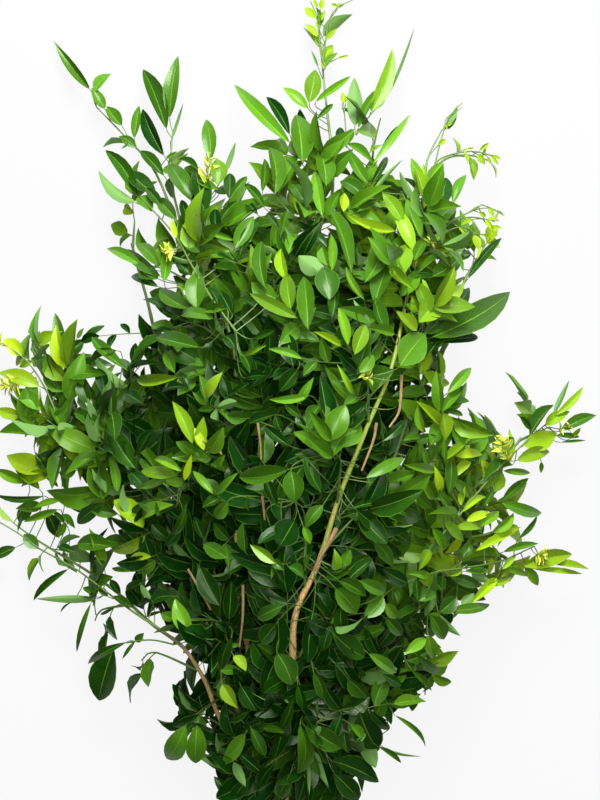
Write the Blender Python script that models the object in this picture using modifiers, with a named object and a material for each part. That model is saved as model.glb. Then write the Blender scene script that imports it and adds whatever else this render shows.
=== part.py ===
"""Murraya foliage bunch: ten cut stems held by a band, with their leafy shoots, lying on a flat surface.

The bunch lies with its cut ends towards -Y and its tips towards +Y; +Z is up. The tables below are in
millimetres, with the band near Y = -408. At the end the whole bunch is moved so that the middle of its
underside is the origin. Blender's own unit stays the metre.
"""

import math
import random

import bmesh
import bpy
from mathutils import Quaternion, Vector
from mathutils.bvhtree import BVHTree

MM = 0.001
SEED = 11

# The band and the cut ends.
TIE = Vector((-18, -408, 17.6))
TIE_INNER = 15.9
TIE_WALL = 1.6
TIE_WIDTH = 9
MIDDLE_SHIFT = 5.1
CUT_END = 50
CUT_STEP = 2.2
FAN_START = 30

# Tubes.
STEM_STEP = 45
TWIG_STEP = 30
RACHIS_STEP = 60
STRAIGHT_BELOW = 22
TWIG_RADIUS = 1.35
TWIG_TIP_RADIUS = 0.85
RACHIS_RADIUS = 0.75
RACHIS_TIP_RADIUS = 0.6
SEAT_GAP = 0.32
COLLAR = 4.5
COLLAR_LEAN = 0.4

# Leaflets.
LEAFLET_THICK = 1.2
LEAFLET_SINK = 3.0
LEAFLET_WIDTH = 0.46
TERMINAL_SHARE = 0.54
TERMINAL_LONGEST = 60
TERMINAL_SHORTEST = 22
SINGLE_LONGEST = 66
LATERAL_SMALLEST = 0.68
LATERAL_LARGEST = 0.94
LATERAL_ANGLE = math.radians(52)
FOLD = 0.30
ARCH = 0.05
CURL = 0.08
CLEARANCE = 0.7

# The surface that the bunch lies on is z = 0: anything lower than SOFT_HEIGHT is pressed flat above it.
SOFT_HEIGHT = 14
FLOOR_MARGIN = 0.8

# The outer sprays sink towards the surface: full SAG at SAG_SIDE to the sides or SAG_TOP beyond SAG_FROM.
SAG = 0.86
SAG_SIDE = 275
SAG_TOP = 340
SAG_FROM = 10

# Height of the middle of the foliage, which the leaves turn away from.
HEART_HEIGHT = 80

# Stem: name, place in the band (0 is the middle), lower and upper radius, points above the band.
STEMS = {
    "stem_left_low": (4, 3.3, 1.3, [
        (-50, -332, 34), (-72, -276, 54), (-96, -224, 74), (-128, -198, 88), (-169, -164, 96),
        (-205, -142, 98)]),
    "stem_left": (3, 3.5, 1.4, [
        (-37, -330, 50), (-57, -262, 72), (-80, -190, 86), (-112, -120, 98), (-150, -62, 106),
        (-190, -18, 104), (-222, 14, 98)]),
    "stem_left_high": (0, 3.8, 1.4, [
        (-29, -330, 38), (-42, -240, 84), (-54, -140, 112), (-54, -40, 122), (-58, 48, 122),
        (-84, 105, 118), (-109, 157, 112)]),
    "stem_top": (6, 3.8, 1.4, [
        (-26, -330, 22), (-24, -240, 58), (-30, -140, 88), (-34, -30, 108), (-20, 60, 114),
        (8, 130, 114), (28, 180, 110), (28, 223, 104)]),
    "stem_front": (2, 4.4, 1.4, [
        (-12, -330, 62), (-7, -250, 108), (-4, -184, 134), (16, -134, 150), (38, -67, 160),
        (54, -28, 162), (74, 17, 156), (88, 70, 146), (102, 130, 134), (117, 202, 116)]),
    "stem_right_high": (7, 3.8, 1.4, [
        (-8, -330, 26), (16, -250, 66), (42, -170, 96), (66, -90, 112), (92, -20, 114),
        (120, 50, 108), (146, 108, 100)]),
    "stem_right": (1, 3.6, 1.4, [
        (8, -330, 46), (40, -262, 76), (84, -186, 96), (128, -120, 102), (166, -68, 102),
        (196, -34, 98)]),
    "stem_right_low": (9, 3.3, 1.3, [
        (17, -334, 26), (56, -276, 46), (102, -222, 62), (150, -178, 74), (190, -148, 80)]),
    "stem_back_right": (8, 3.6, 1.4, [
        (0, -330, 13), (14, -240, 26), (24, -120, 40), (36, 0, 50), (48, 90, 50), (58, 150, 48),
        (62, 190, 48)]),
    "stem_back_left": (5, 3.4, 1.4, [
        (-40, -336, 14), (-62, -250, 28), (-84, -150, 42), (-104, -50, 48), (-124, 40, 50),
        (-142, 110, 48), (-150, 140, 46)]),
}

# Shoot: name, stem, share of the stem's length where it grows (1 is the stem's tip), points of its twig,
# and its leaves as (share of the twig, tip x, y, z, number of leaflets).
SHOOTS = {
    "shoot_top_left_tip": ("stem_left_high", 1, [(-130, 205, 104), (-156, 235, 95), (-182, 262, 86)], [
        (1, -218, 315, 70, 1), (0.93, -166, 288, 102, 1), (0.8, -141, 260, 112, 1),
        (0.66, -176, 230, 84, 2), (0.42, -177, 200, 76, 2), (0.5, -139, 222, 124, 1)]),
    "shoot_top_left_side": ("stem_left_high", 0.965, [(-114, 196, 122), (-113, 238, 120)], [
        (1, -106, 302, 104, 1), (0.93, -138, 292, 124, 1), (0.8, -96, 262, 128, 2),
        (0.45, -80, 248, 118, 3), (0.2, -57, 226, 112, 3)]),
    "shoot_high_left": ("stem_left_high", 0.9, [(-84, 138, 132), (-88, 166, 136)], [
        (1, -118, 212, 142, 3), (0.8, -80, 212, 148, 3), (0.5, -56, 186, 138, 3)]),
    "shoot_left_upper_a": ("stem_left_high", 0.87, [(-112, 112, 104), (-130, 118, 98)], [
        (1, -172, 134, 88, 3), (0.8, -147, 152, 98, 3), (0.5, -150, 104, 88, 3)]),
    "shoot_left_upper_b": ("stem_left_high", 0.79, [(-82, 62, 136), (-98, 68, 138)], [
        (1, -140, 92, 130, 3), (0.8, -128, 56, 132, 3), (0.6, -89, 120, 146, 3),
        (0.3, -84, 36, 150, 2)]),
    "shoot_left_tip": ("stem_left", 1, [(-236, 32, 97)], [
        (1, -266, 54, 94, 3), (0.75, -234, 62, 104, 1), (0.5, -217, 80, 106, 1),
        (0.25, -192, 44, 112, 1), (0.9, -268, 24, 86, 2)]),
    "shoot_left_a": ("stem_left", 0.93, [(-214, -22, 108), (-230, -26, 106)], [
        (1, -264, -42, 100, 2), (0.8, -250, -68, 92, 2), (0.5, -262, 4, 96, 3)]),
    "shoot_left_b": ("stem_left", 0.85, [(-162, -20, 120), (-160, 6, 124)], [
        (1, -190, 56, 124, 3), (0.85, -140, 52, 128, 3), (0.5, -128, 22, 138, 2),
        (0.3, -200, 8, 116, 2)]),
    "shoot_left_c": ("stem_left", 0.7, [(-106, -90, 124), (-98, -58, 136)], [
        (1, -113, 4, 150, 3), (0.85, -68, -8, 150, 3), (0.5, -140, -38, 138, 3)]),
    "shoot_left_d": ("stem_left", 0.62, [(-126, -124, 120), (-140, -114, 126)], [
        (1, -171, -84, 126, 3), (0.8, -143, -62, 136, 3), (0.5, -174, -122, 112, 2)]),
    "shoot_left_low_tip": ("stem_left_low", 1, [(-236, -124, 98), (-256, -110, 94)], [
        (1, -272, -94, 90, 1), (0.85, -266, -132, 84, 1), (0.7, -238, -88, 100, 1),
        (0.4, -246, -160, 80, 2), (0.15, -232, -184, 78, 2)]),
    "shoot_left_low_a": ("stem_left_low", 0.82, [(-176, -186, 84), (-182, -196, 80)], [
        (1, -200, -228, 66, 2), (0.7, -228, -182, 76, 2), (0.4, -178, -238, 62, 3)]),
    "shoot_left_low_b": ("stem_left_low", 0.6, [(-128, -222, 76), (-140, -230, 72)], [
        (1, -184, -266, 48, 2), (0.7, -156, -268, 52, 3), (0.4, -119, -252, 74, 2)]),
    "shoot_bottom_left": ("stem_left_low", 0.46, [(-84, -280, 48), (-92, -286, 44)], [
        (1, -117, -318, 30, 2), (0.75, -93, -324, 34, 2), (0.5, -128, -288, 44, 2)]),
    "shoot_bottom": ("stem_front", 0.2, [(-34, -288, 98), (-42, -292, 98)], [
        (1, -69, -326, 80, 2), (0.6, -38, -336, 88, 2)]),
    "shoot_bottom_front": ("stem_front", 0.26, [(10, -268, 122), (14, -274, 122)], [
        (1, -3, -333, 96, 2), (0.7, 45, -302, 100, 2)]),
    "shoot_bottom_right": ("stem_right_low", 0.4, [(62, -290, 46), (72, -296, 42)], [
        (1, 108, -312, 34, 2), (0.8, 72, -336, 28, 2), (0.5, 50, -350, 30, 2)]),
    "shoot_low_right_a": ("stem_right_low", 0.62, [(106, -238, 58), (110, -246, 54)], [
        (1, 114, -300, 42, 3), (0.8, 136, -252, 50, 2), (0.5, 142, -224, 66, 2)]),
    "shoot_low_right_b": ("stem_right", 0.46, [(84, -212, 104), (90, -222, 106)], [
        (1, 98, -272, 90, 3), (0.7, 128, -222, 98, 2), (0.4, 60, -250, 104, 2)]),
    "shoot_right_low_tip": ("stem_right_low", 1, [(214, -143, 84)], [
        (1, 254, -149, 82, 2), (0.9, 242, -132, 94, 2), (0.5, 212, -122, 98, 1),
        (0.4, 214, -166, 74, 1)]),
    "shoot_right_a": ("stem_right", 0.82, [(170, -96, 112), (180, -94, 114)], [
        (1, 216, -100, 110, 2), (0.8, 203, -64, 118, 2), (0.5, 200, -130, 102, 2),
        (0.2, 152, -128, 122, 2)]),
    "shoot_right_tip": ("stem_right", 1, [(222, -24, 98)], [
        (1, 262, -12, 94, 2), (0.95, 249, 14, 104, 2), (0.7, 230, 22, 110, 1),
        (0.8, 252, -36, 90, 1), (0.5, 222, -54, 94, 1), (0.3, 190, -6, 108, 1)]),
    "shoot_right_b": ("stem_right", 0.7, [(128, -86, 122), (132, -70, 128)], [
        (1, 160, -34, 134, 3), (0.7, 110, -38, 140, 3), (0.4, 172, -70, 128, 2)]),
    "shoot_right_c": ("stem_right_high", 0.79, [(116, 0, 128), (124, 6, 132)], [
        (1, 152, 32, 132, 3), (0.75, 122, 44, 142, 3), (0.5, 154, 2, 124, 2)]),
    "shoot_right_d": ("stem_right_high", 0.9, [(138, 58, 118), (144, 62, 120)], [
        (1, 190, 99, 114, 2), (0.8, 160, 54, 112, 2), (0.5, 142, 118, 126, 2)]),
    "shoot_high_right_tip": ("stem_right_high", 1, [(158, 128, 98)], [
        (1, 178, 158, 94, 3), (0.8, 176, 128, 88, 1), (0.5, 156, 160, 106, 2)]),
    "shoot_arch": ("stem_front", 1, [(129, 214, 114), (150, 218, 108), (170, 213, 98)], [
        (1, 178, 200, 90, 1), (0.85, 166, 228, 108, 1), (0.65, 156, 196, 98, 1),
        (0.5, 140, 234, 116, 1), (0.3, 136, 192, 108, 1)]),
    "shoot_bare_twig": ("stem_front", 0.955, [(112, 210, 128), (126, 240, 122)], [
        (1, 142, 262, 114, 1), (0.6, 96, 236, 130, 1), (0.25, 134, 208, 134, 1)]),
    "shoot_high_right_a": ("stem_front", 0.93, [(94, 172, 136), (90, 180, 138)], [
        (1, 92, 216, 138, 2), (0.7, 62, 204, 140, 3)]),
    "shoot_high_right_b": ("stem_front", 0.88, [(112, 128, 148), (116, 134, 150)], [
        (1, 137, 176, 148, 2), (0.7, 142, 124, 138, 2), (0.4, 94, 172, 158, 3)]),
    "shoot_high_right_c": ("stem_front", 0.83, [(76, 108, 160), (70, 116, 164)], [
        (1, 42, 166, 166, 3), (0.7, 40, 116, 170, 3), (0.4, 76, 150, 174, 2)]),
    "shoot_high_right_d": ("stem_front", 0.76, [(106, 58, 160), (112, 62, 162)], [
        (1, 148, 84, 154, 3), (0.7, 104, 106, 172, 3), (0.4, 126, 30, 158, 2)]),
    "shoot_top_tip": ("stem_top", 1, [(23, 266, 98), (19, 310, 90), (17, 334, 86)], [
        (1, 16, 353, 84, 1), (0.9, 44, 348, 86, 1), (0.82, 6, 336, 82, 1), (0.7, 30, 318, 98, 1),
        (0.42, 14, 294, 108, 1), (0.36, 45, 287, 96, 1), (0.3, -15, 276, 90, 1)]),
    "shoot_top_a": ("stem_top", 0.955, [(8, 208, 116), (-6, 216, 116)], [
        (1, -59, 283, 108, 3), (0.85, -26, 270, 120, 3), (0.5, -44, 228, 110, 3)]),
    "shoot_top_b": ("stem_top", 0.9, [(-4, 158, 132), (-12, 166, 136)], [
        (1, -36, 214, 138, 3), (0.7, 8, 212, 144, 3), (0.4, -54, 168, 132, 3)]),
    "shoot_back_right_tip": ("stem_back_right", 1, [(66, 226, 50), (72, 252, 52)], [
        (1, 100, 322, 20, 1), (0.9, 80, 308, 40, 1), (0.6, 50, 282, 60, 2), (0.4, 104, 256, 10, 2)]),
    "shoot_centre_a": ("stem_top", 0.8, [(-22, 98, 134), (-22, 108, 140)], [
        (1, -22, 158, 150, 3), (0.7, 6, 136, 154, 3), (0.4, -62, 118, 138, 3)]),
    "shoot_centre_b": ("stem_top", 0.7, [(-16, 30, 136), (-12, 40, 146)], [
        (1, 4, 98, 160, 4), (0.7, -48, 84, 156, 3), (0.4, 30, 62, 160, 3)]),
    "shoot_centre_c": ("stem_front", 0.655, [(56, 24, 180), (52, 30, 184)], [
        (1, 14, 66, 196, 3), (0.7, 50, 84, 200, 3), (0.4, 86, 40, 196, 3)]),
    "shoot_front_a": ("stem_front", 0.555, [(34, -50, 182), (30, -44, 186)], [
        (1, 9, -6, 208, 2), (0.7, 43, 2, 212, 3), (0.4, 0, -36, 202, 2)]),
    "shoot_front_b": ("stem_front", 0.45, [(4, -96, 170), (-4, -84, 176)], [
        (1, -56, -66, 196, 2), (0.8, -22, -22, 204, 3), (0.4, -46, -122, 188, 2)]),
    "shoot_front_c": ("stem_front", 0.5, [(52, -92, 168), (58, -94, 172)], [
        (1, 109, -100, 176, 2), (0.7, 92, -62, 190, 2), (0.4, 66, -142, 172, 2)]),
    "shoot_low_front": ("stem_front", 0.35, [(18, -182, 148), (26, -184, 150)], [
        (1, 62, -226, 142, 3), (0.7, 66, -172, 154, 2), (0.4, 8, -220, 150, 2)]),
    "shoot_low_left_front": ("stem_left_high", 0.36, [(-66, -190, 124), (-74, -188, 130)], [
        (1, -120, -166, 128, 3), (0.7, -94, -136, 140, 3), (0.4, -96, -222, 120, 3)]),
    "shoot_back_a": ("stem_back_right", 0.62, [(66, -20, 34), (84, -10, 24)], [
        (1, 148, 24, -8, 3), (0.7, 122, -60, -8, 3), (0.5, 92, 66, -6, 3), (0.25, 10, 6, -6, 3)]),
    "shoot_back_b": ("stem_back_right", 0.4, [(40, -140, 26), (58, -136, 18)], [
        (1, 118, -148, -8, 3), (0.6, 72, -210, -6, 3), (0.4, 70, -84, -4, 2)]),
    "shoot_back_c": ("stem_back_left", 0.56, [(-118, -92, 28), (-132, -84, 20)], [
        (1, -182, -92, -8, 3), (0.6, -158, -24, -8, 3), (0.3, -72, -110, -6, 3)]),
    "shoot_back_d": ("stem_back_left", 0.76, [(-104, 40, 32), (-92, 54, 22)], [
        (1, -52, 90, -8, 3), (0.6, -44, 20, -8, 3), (0.3, -128, 86, -4, 2)]),
    "shoot_back_left_tip": ("stem_back_left", 1, [(-148, 160, 34)], [
        (1, -150, 216, -4, 3), (0.7, -110, 204, -8, 3), (0.4, -172, 158, -6, 2)]),
}

LEAF_GREEN = (0.12, 0.26, 0.045, 1)
YOUNG_GREEN = (0.38, 0.48, 0.10, 1)
STEM_BROWN = (0.22, 0.16, 0.08, 1)
BAND_TAN = (0.55, 0.40, 0.22, 1)
YOUNG_SHOOTS = ("shoot_left_tip", "shoot_left_low_tip", "shoot_top_tip", "shoot_arch", "shoot_right_tip",
                "shoot_right_low_tip", "shoot_high_right_tip")


def empty_scene():
    """Remove whatever the file starts with."""
    for thing in list(bpy.data.objects):
        bpy.data.objects.remove(thing, do_unlink=True)


def new_collection(name):
    """Make a collection in the scene."""
    group = bpy.data.collections.new(name)
    bpy.context.scene.collection.children.link(group)
    return group


def plain_material(name, colour, roughness):
    """A Principled material of one colour."""
    material = bpy.data.materials.new(name)
    material.use_nodes = True
    shader = material.node_tree.nodes["Principled BSDF"]
    shader.inputs["Base Color"].default_value = colour
    shader.inputs["Roughness"].default_value = roughness
    shader.inputs["Metallic"].default_value = 0
    return material


def settled(x, y, z):
    """A point of the tables, let down with its distance from the heart of the bunch: outer sprays hang lower."""
    reach = math.hypot(x / SAG_SIDE, max(0, y - SAG_FROM) / SAG_TOP)
    share = min(reach, 1)
    return Vector((x, y, z * (1 - SAG * share * share * (3 - 2 * share))))


def pressed(point):
    """A point kept above the surface: it keeps its height above SOFT_HEIGHT, and is pressed flat below it."""
    height = point.z
    if height < SOFT_HEIGHT:
        span = SOFT_HEIGHT - FLOOR_MARGIN
        height = FLOOR_MARGIN + span * math.exp((height - SOFT_HEIGHT) / span)
    return Vector((point.x, point.y, height))


def laid(path):
    """A path's points, each kept above the surface."""
    return [pressed(point) for point in path]


def smooth_path(points, step):
    """Points about step apart on a Catmull-Rom curve through the given ones."""
    ends = [points[0] * 2 - points[1], *points, points[-1] * 2 - points[-2]]
    path = [points[0].copy()]
    for before, start, end, after in zip(ends, ends[1:], ends[2:], ends[3:]):
        parts = max(1, round((end - start).length / step))
        for part in range(1, parts + 1):
            t = part / parts
            bend = start * 2 + (end - before) * t
            bend += (before * 2 - start * 5 + end * 4 - after) * t * t
            bend += (start * 3 - before - end * 3 + after) * t * t * t
            path.append(bend / 2)
    return path


def along(path, share):
    """The point at a share of a path's length, and the direction there."""
    lengths = [(b - a).length for a, b in zip(path, path[1:])]
    left = sum(lengths) * share
    for a, b, length in zip(path, path[1:], lengths):
        if left <= length:
            break
        left -= length
    return a.lerp(b, min(left / length, 1)), (b - a).normalized()


def tapered(count, low, high):
    """Radii that narrow evenly from low to high."""
    return [low + (high - low) * step / (count - 1) for step in range(count)]


def tube(name, runs, resolution, collection):
    """A mesh of closed tubes, one for each run of (points, radii), from a bevelled curve with filled caps."""
    curve = bpy.data.curves.new(name, "CURVE")
    curve.dimensions = "3D"
    curve.bevel_depth = MM
    curve.bevel_resolution = resolution
    curve.use_fill_caps = True
    for points, radii in runs:
        spline = curve.splines.new("POLY")
        spline.points.add(len(points) - 1)
        for knot, point, radius in zip(spline.points, points, radii):
            knot.co = (*(point * MM), 1)
            knot.radius = radius
    carrier = bpy.data.objects.new(name + "_curve", curve)
    collection.objects.link(carrier)
    bpy.context.view_layer.update()
    graph = bpy.context.evaluated_depsgraph_get()
    mesh = bpy.data.meshes.new_from_object(carrier.evaluated_get(graph))
    mesh.name = name
    body = bmesh.new()
    body.from_mesh(mesh)
    bmesh.ops.remove_doubles(body, verts=body.verts, dist=0.00001)
    body.to_mesh(mesh)
    body.free()
    thing = bpy.data.objects.new(name, mesh)
    thing.matrix_world = carrier.matrix_world
    collection.objects.link(thing)
    bpy.data.objects.remove(carrier, do_unlink=True)
    return thing


class Space:
    """What is already placed: a tree of faces for each solid, to keep later ones clear of it."""

    def __init__(self):
        self.solids = []

    @staticmethod
    def reach(points):
        """The lowest and highest corners round some points."""
        low = [min(point[axis] for point in points) for axis in range(3)]
        high = [max(point[axis] for point in points) for axis in range(3)]
        return low, high

    def add(self, owner, points, faces):
        """Keep a solid's faces, under the name of what owns it."""
        self.solids.append((owner, *self.reach(points), BVHTree.FromPolygons(points, faces)))

    def clear(self, allowed, points, faces):
        """True where the faces cross nothing but the solids of the allowed owners."""
        low, high = self.reach(points)
        tree = BVHTree.FromPolygons(points, faces)
        for owner, other_low, other_high, other in self.solids:
            apart = any(low[axis] > other_high[axis] or high[axis] < other_low[axis] for axis in range(3))
            if not apart and owner not in allowed and tree.overlap(other):
                return False
        return True


def sleeve(path, radii, grow):
    """A four-sided sleeve round a tube, wider than it by grow."""
    points = []
    for index, (point, radius) in enumerate(zip(path, radii)):
        ahead = path[min(index + 1, len(path) - 1)] - path[max(index - 1, 0)]
        side = ahead.cross(Vector((0.3, 0.2, 1))).normalized()
        other = ahead.cross(side).normalized()
        reach = (radius + grow) * math.sqrt(2)
        points += [point + side * reach, point + other * reach, point - side * reach, point - other * reach]
    faces = []
    for ring in range(len(path) - 1):
        for corner in range(4):
            near = ring * 4 + corner
            next_near = ring * 4 + (corner + 1) % 4
            faces.append((near, next_near, next_near + 4, near + 4))
    return points, faces


def ball_shape():
    """The points and faces of a unit ball of six sides and two rings, with corners at -Y and +Y."""
    ball = bmesh.new()
    bmesh.ops.create_uvsphere(ball, u_segments=6, v_segments=2, radius=1)
    points = [corner.co.copy() for corner in ball.verts]
    faces = [tuple(corner.index for corner in face.verts) for face in ball.faces]
    ball.free()
    return points, faces


def leaflet_place(ball, base, tip, facing, width, grow):
    """Where a unit ball's point goes in a leaflet: pointed, folded up from its midrib, arched and curled.

    The ball's -Y corner is the base, its +Y corner is the tip and its height is the blade's thickness.
    """
    forward = (tip - base).normalized()
    up = (facing - forward * facing.dot(forward)).normalized()
    side = forward.cross(up)
    length = (tip - base).length
    share = (ball.y + 1) / 2
    half = width / 2 + grow
    across = ball.x / math.sin(math.radians(60)) * half
    rise = abs(across) * FOLD + ball.z * (LEAFLET_THICK / 2 + grow)
    rise += length * (ARCH * 4 * share * (1 - share) - CURL * share * share)
    return pressed(base + forward * (share * (length + grow)) + side * across + up * rise)


def facing_at(point, rng):
    """The way a leaf turns its upper side: out from the heart of the bunch and mostly up, a little unevenly."""
    out = Vector((point.x / 150, (point.y + 60) / 900, (point.z - HEART_HEIGHT) / 90 + 1.0))
    uneven = Vector((rng.uniform(-1, 1), rng.uniform(-1, 1), rng.uniform(-1, 1)))
    return (out.normalized() + uneven * 0.38).normalized()


def stem_paths():
    """Each stem's path and radii, from its cut end, through its place in the band, to its tip."""
    paths = {}
    for name, (slot, low, high, points) in STEMS.items():
        angle = math.tau * slot / (len(STEMS) - 1)
        reach = TIE_INNER - SEAT_GAP - low
        offset = Vector((math.cos(angle), 0, math.sin(angle))) * reach
        if slot == 0:
            offset = Vector((-MIDDLE_SHIFT, 0, 0))
        start = TIE + offset
        cut = start + Vector((0, -CUT_END - CUT_STEP * (slot % 4), 0))
        knots = [cut, start, start + Vector((0, FAN_START, 0)), *(settled(*point) for point in points)]
        path = smooth_path(knots, STEM_STEP)
        paths[name] = (path, tapered(len(path), low, high))
    return paths


def seat(stem_path, stem_radii, share, towards, radius):
    """Where a twig starts on a stem: its first points, standing off the bark, or carrying on from the tip."""
    point, forward = along(stem_path, share)
    if share == 1:
        tip = stem_path[-1]
        return [tip + forward * SEAT_GAP, tip + forward * (SEAT_GAP + COLLAR)]
    low, high = stem_radii[0], stem_radii[-1]
    bark = low + (high - low) * share
    away = towards - point
    away = (away - forward * away.dot(forward)).normalized()
    start = point + away * (bark + SEAT_GAP + radius * math.sin(math.atan(COLLAR_LEAN)))
    return [start, start + (away + forward * COLLAR_LEAN) * COLLAR]


def lay_out(space):
    """Place every tube and leaflet, the far-reaching ones first, each clear of what is already there."""
    rng = random.Random(SEED)
    stems = stem_paths()
    for name, (path, radii) in stems.items():
        space.add(name, *sleeve(path, radii, SEAT_GAP))
    plans = {}
    for name, (stem, share, points, _) in SHOOTS.items():
        knots = [settled(*point) for point in points]
        radius = min(TWIG_RADIUS, stems[stem][1][-1])
        path = smooth_path([*seat(*stems[stem], share, knots[0], radius), *knots], TWIG_STEP)
        radii = tapered(len(path), radius, TWIG_TIP_RADIUS)
        space.add(name, *sleeve(laid(path), radii, CLEARANCE / 2))
        plans[name] = {"twig": (path, radii), "rachises": [], "leaflets": []}
    leaves = []
    for name, (_, _, _, rows) in SHOOTS.items():
        for number, row in enumerate(rows):
            leaf = lay_rachis(space, name, f"{name}/{number}", plans[name], row, rng)
            if leaf:
                leaves.append(leaf)
    for leaf in leaves:
        base = leaf["end"] - (leaf["tip"] - leaf["end"]).normalized() * LEAFLET_SINK
        lay_leaflet(space, plans[leaf["shoot"]], leaf, base, leaf["tip"], leaf["facing"])
    for leaf in leaves:
        lay_laterals(space, plans[leaf["shoot"]], leaf)
    return stems, plans


def lay_rachis(space, shoot, owner, plan, row, rng):
    """Place a leaf's stalk, from its twig to the base of its last leaflet."""
    share, x, y, z, count = row
    base, twig_forward = along(plan["twig"][0], min(share, 0.985))
    tip = settled(x, y, z)
    span = tip - base
    if count == 1:
        length = min(span.length * 0.78, SINGLE_LONGEST)
    else:
        length = max(min(span.length * TERMINAL_SHARE, TERMINAL_LONGEST), TERMINAL_SHORTEST)
    facing = facing_at(tip, rng)
    end = tip - span.normalized() * length
    for bow in (0.06, 0.0, 0.14, -0.06, -0.14, 0.22):
        middle = (base + end) / 2 + facing * (end - base).length * bow
        knots = [base, middle, end] if (end - base).length > STRAIGHT_BELOW else [base, end]
        path = smooth_path(knots, RACHIS_STEP)
        radii = tapered(len(path), RACHIS_RADIUS, RACHIS_TIP_RADIUS)
        if space.clear({shoot}, *sleeve(laid(path), radii, CLEARANCE)):
            space.add(owner, *sleeve(laid(path), radii, CLEARANCE / 2))
            plan["rachises"].append((path, radii))
            return {"shoot": shoot, "owner": owner, "path": path, "end": end, "tip": tip,
                    "length": length, "count": count, "facing": facing}
    return None


def lay_leaflet(space, plan, leaf, base, tip, facing):
    """Place one leaflet, turned or shortened as far as it takes to be clear of the others."""
    points, faces = BALL
    forward = (tip - base).normalized()
    for size in (1, 0.86, 0.72):
        for turn in (0, 25, -25, 50, -50):
            rolled = facing.copy()
            rolled.rotate(Quaternion(forward, math.radians(turn)))
            end = base + (tip - base) * size
            width = (end - base).length * LEAFLET_WIDTH
            test = [leaflet_place(ball, base, end, rolled, width, CLEARANCE) for ball in points]
            if space.clear({leaf["owner"], leaf["shoot"]}, test, faces):
                space.add(leaf["owner"] + "/blade", test, faces)
                plan["leaflets"].append((base, end, rolled, width))
                return


def lay_laterals(space, plan, leaf):
    """Place a leaf's side leaflets, alternately on each side and larger towards its tip."""
    sides = leaf["count"] - 1
    for number in range(sides):
        share = (number + 0.75) / sides * 0.86 + 0.06
        base, forward = along(leaf["path"], share)
        hand = 1 if number % 2 else -1
        side = forward.cross(leaf["facing"]).normalized() * hand
        way = forward * math.cos(LATERAL_ANGLE) + side * math.sin(LATERAL_ANGLE)
        size = LATERAL_SMALLEST + (LATERAL_LARGEST - LATERAL_SMALLEST) * share
        lay_leaflet(space, plan, leaf, base, base + way * leaf["length"] * size, leaf["facing"])


def leaflets_mesh(name, rows, collection):
    """One mesh with every leaflet of a shoot, each a flattened six-sided ball."""
    blades = bmesh.new()
    for base, tip, facing, width in rows:
        made = bmesh.ops.create_uvsphere(blades, u_segments=6, v_segments=2, radius=1)
        for corner in made["verts"]:
            corner.co = leaflet_place(corner.co.copy(), base, tip, facing, width, 0) * MM
    mesh = bpy.data.meshes.new(name)
    blades.to_mesh(mesh)
    blades.free()
    thing = bpy.data.objects.new(name, mesh)
    collection.objects.link(thing)
    return thing


def join_to(thing, other):
    """Join another object to this one by a Boolean union, and keep the other as a hidden guide."""
    union = thing.modifiers.new("union_" + other.name, "BOOLEAN")
    union.operation = "UNION"
    union.solver = "EXACT"
    union.object = other
    other.hide_render = True
    other.display_type = "WIRE"


def build_shoot(name, plan, parts, guides):
    """A shoot: its twig, its leaf stalks and its leaflets as one body."""
    path, radii = plan["twig"]
    shoot = tube(name, [(laid(path), radii)], 0, parts)
    stalks = [(laid(path), radii) for path, radii in plan["rachises"]]
    join_to(shoot, tube(name + "_stalks", stalks, 0, guides))
    join_to(shoot, leaflets_mesh(name + "_leaflets", plan["leaflets"], guides))
    return shoot


def build_band(parts):
    """The flat band round the stems: a turned ring."""
    profile = bmesh.new()
    outer = TIE_INNER + TIE_WALL
    corners = [(outer, TIE_WIDTH / 2), (outer, -TIE_WIDTH / 2), (TIE_INNER, -TIE_WIDTH / 2),
               (TIE_INNER, TIE_WIDTH / 2)]
    loop = [profile.verts.new((radius * MM, 0, height * MM)) for radius, height in corners]
    for start, end in zip(loop, loop[1:] + loop[:1]):
        profile.edges.new((start, end))
    mesh = bpy.data.meshes.new("band")
    profile.to_mesh(mesh)
    profile.free()
    band = bpy.data.objects.new("band", mesh)
    parts.objects.link(band)
    turn = band.modifiers.new("turn", "SCREW")
    turn.steps = 32
    turn.render_steps = 32
    turn.use_merge_vertices = True
    turn.merge_threshold = 0.00001
    band.location = TIE * MM
    band.rotation_euler = (math.radians(90), 0, 0)
    return band


def main():
    empty_scene()
    parts = new_collection("murraya_foliage_bunch")
    guides = new_collection("guides")
    space = Space()
    stems, plans = lay_out(space)
    made = []
    for name, (path, radii) in stems.items():
        stem = tube(name, [(path, radii)], 2, parts)
        stem.data.materials.append(plain_material(name + "_bark", STEM_BROWN, 0.7))
        made.append(stem)
    for name, plan in plans.items():
        shoot = build_shoot(name, plan, parts, guides)
        colour = YOUNG_GREEN if name in YOUNG_SHOOTS else LEAF_GREEN
        shoot.data.materials.append(plain_material(name + "_leaf", colour, 0.4))
        made.append(shoot)
    band = build_band(parts)
    band.data.materials.append(plain_material("band_rubber", BAND_TAN, 0.6))
    made.append(band)

    root = bpy.data.objects.new("murraya_foliage_bunch_root", None)
    parts.objects.link(root)
    bpy.context.view_layer.update()
    graph = bpy.context.evaluated_depsgraph_get()
    corners = []
    for thing in made:
        shown = thing.evaluated_get(graph)
        corners += [shown.matrix_world @ Vector(corner) for corner in shown.bound_box]
    low, high = Space.reach(corners)
    for thing in [*made, *guides.objects]:
        thing.parent = root
    root.location = (-(low[0] + high[0]) / 2, -(low[1] + high[1]) / 2, -low[2])


BALL = ball_shape()

if __name__ == "__main__":
    main()
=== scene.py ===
"""Murraya foliage bunch: banded stems and leafy shoots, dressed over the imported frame.

The stems and shoots follow the same tables as the solids, in millimetres with the band near Y = -408. Every
leaflet, stalk and stem is a surface worked out as whole arrays.
"""

import math

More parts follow.
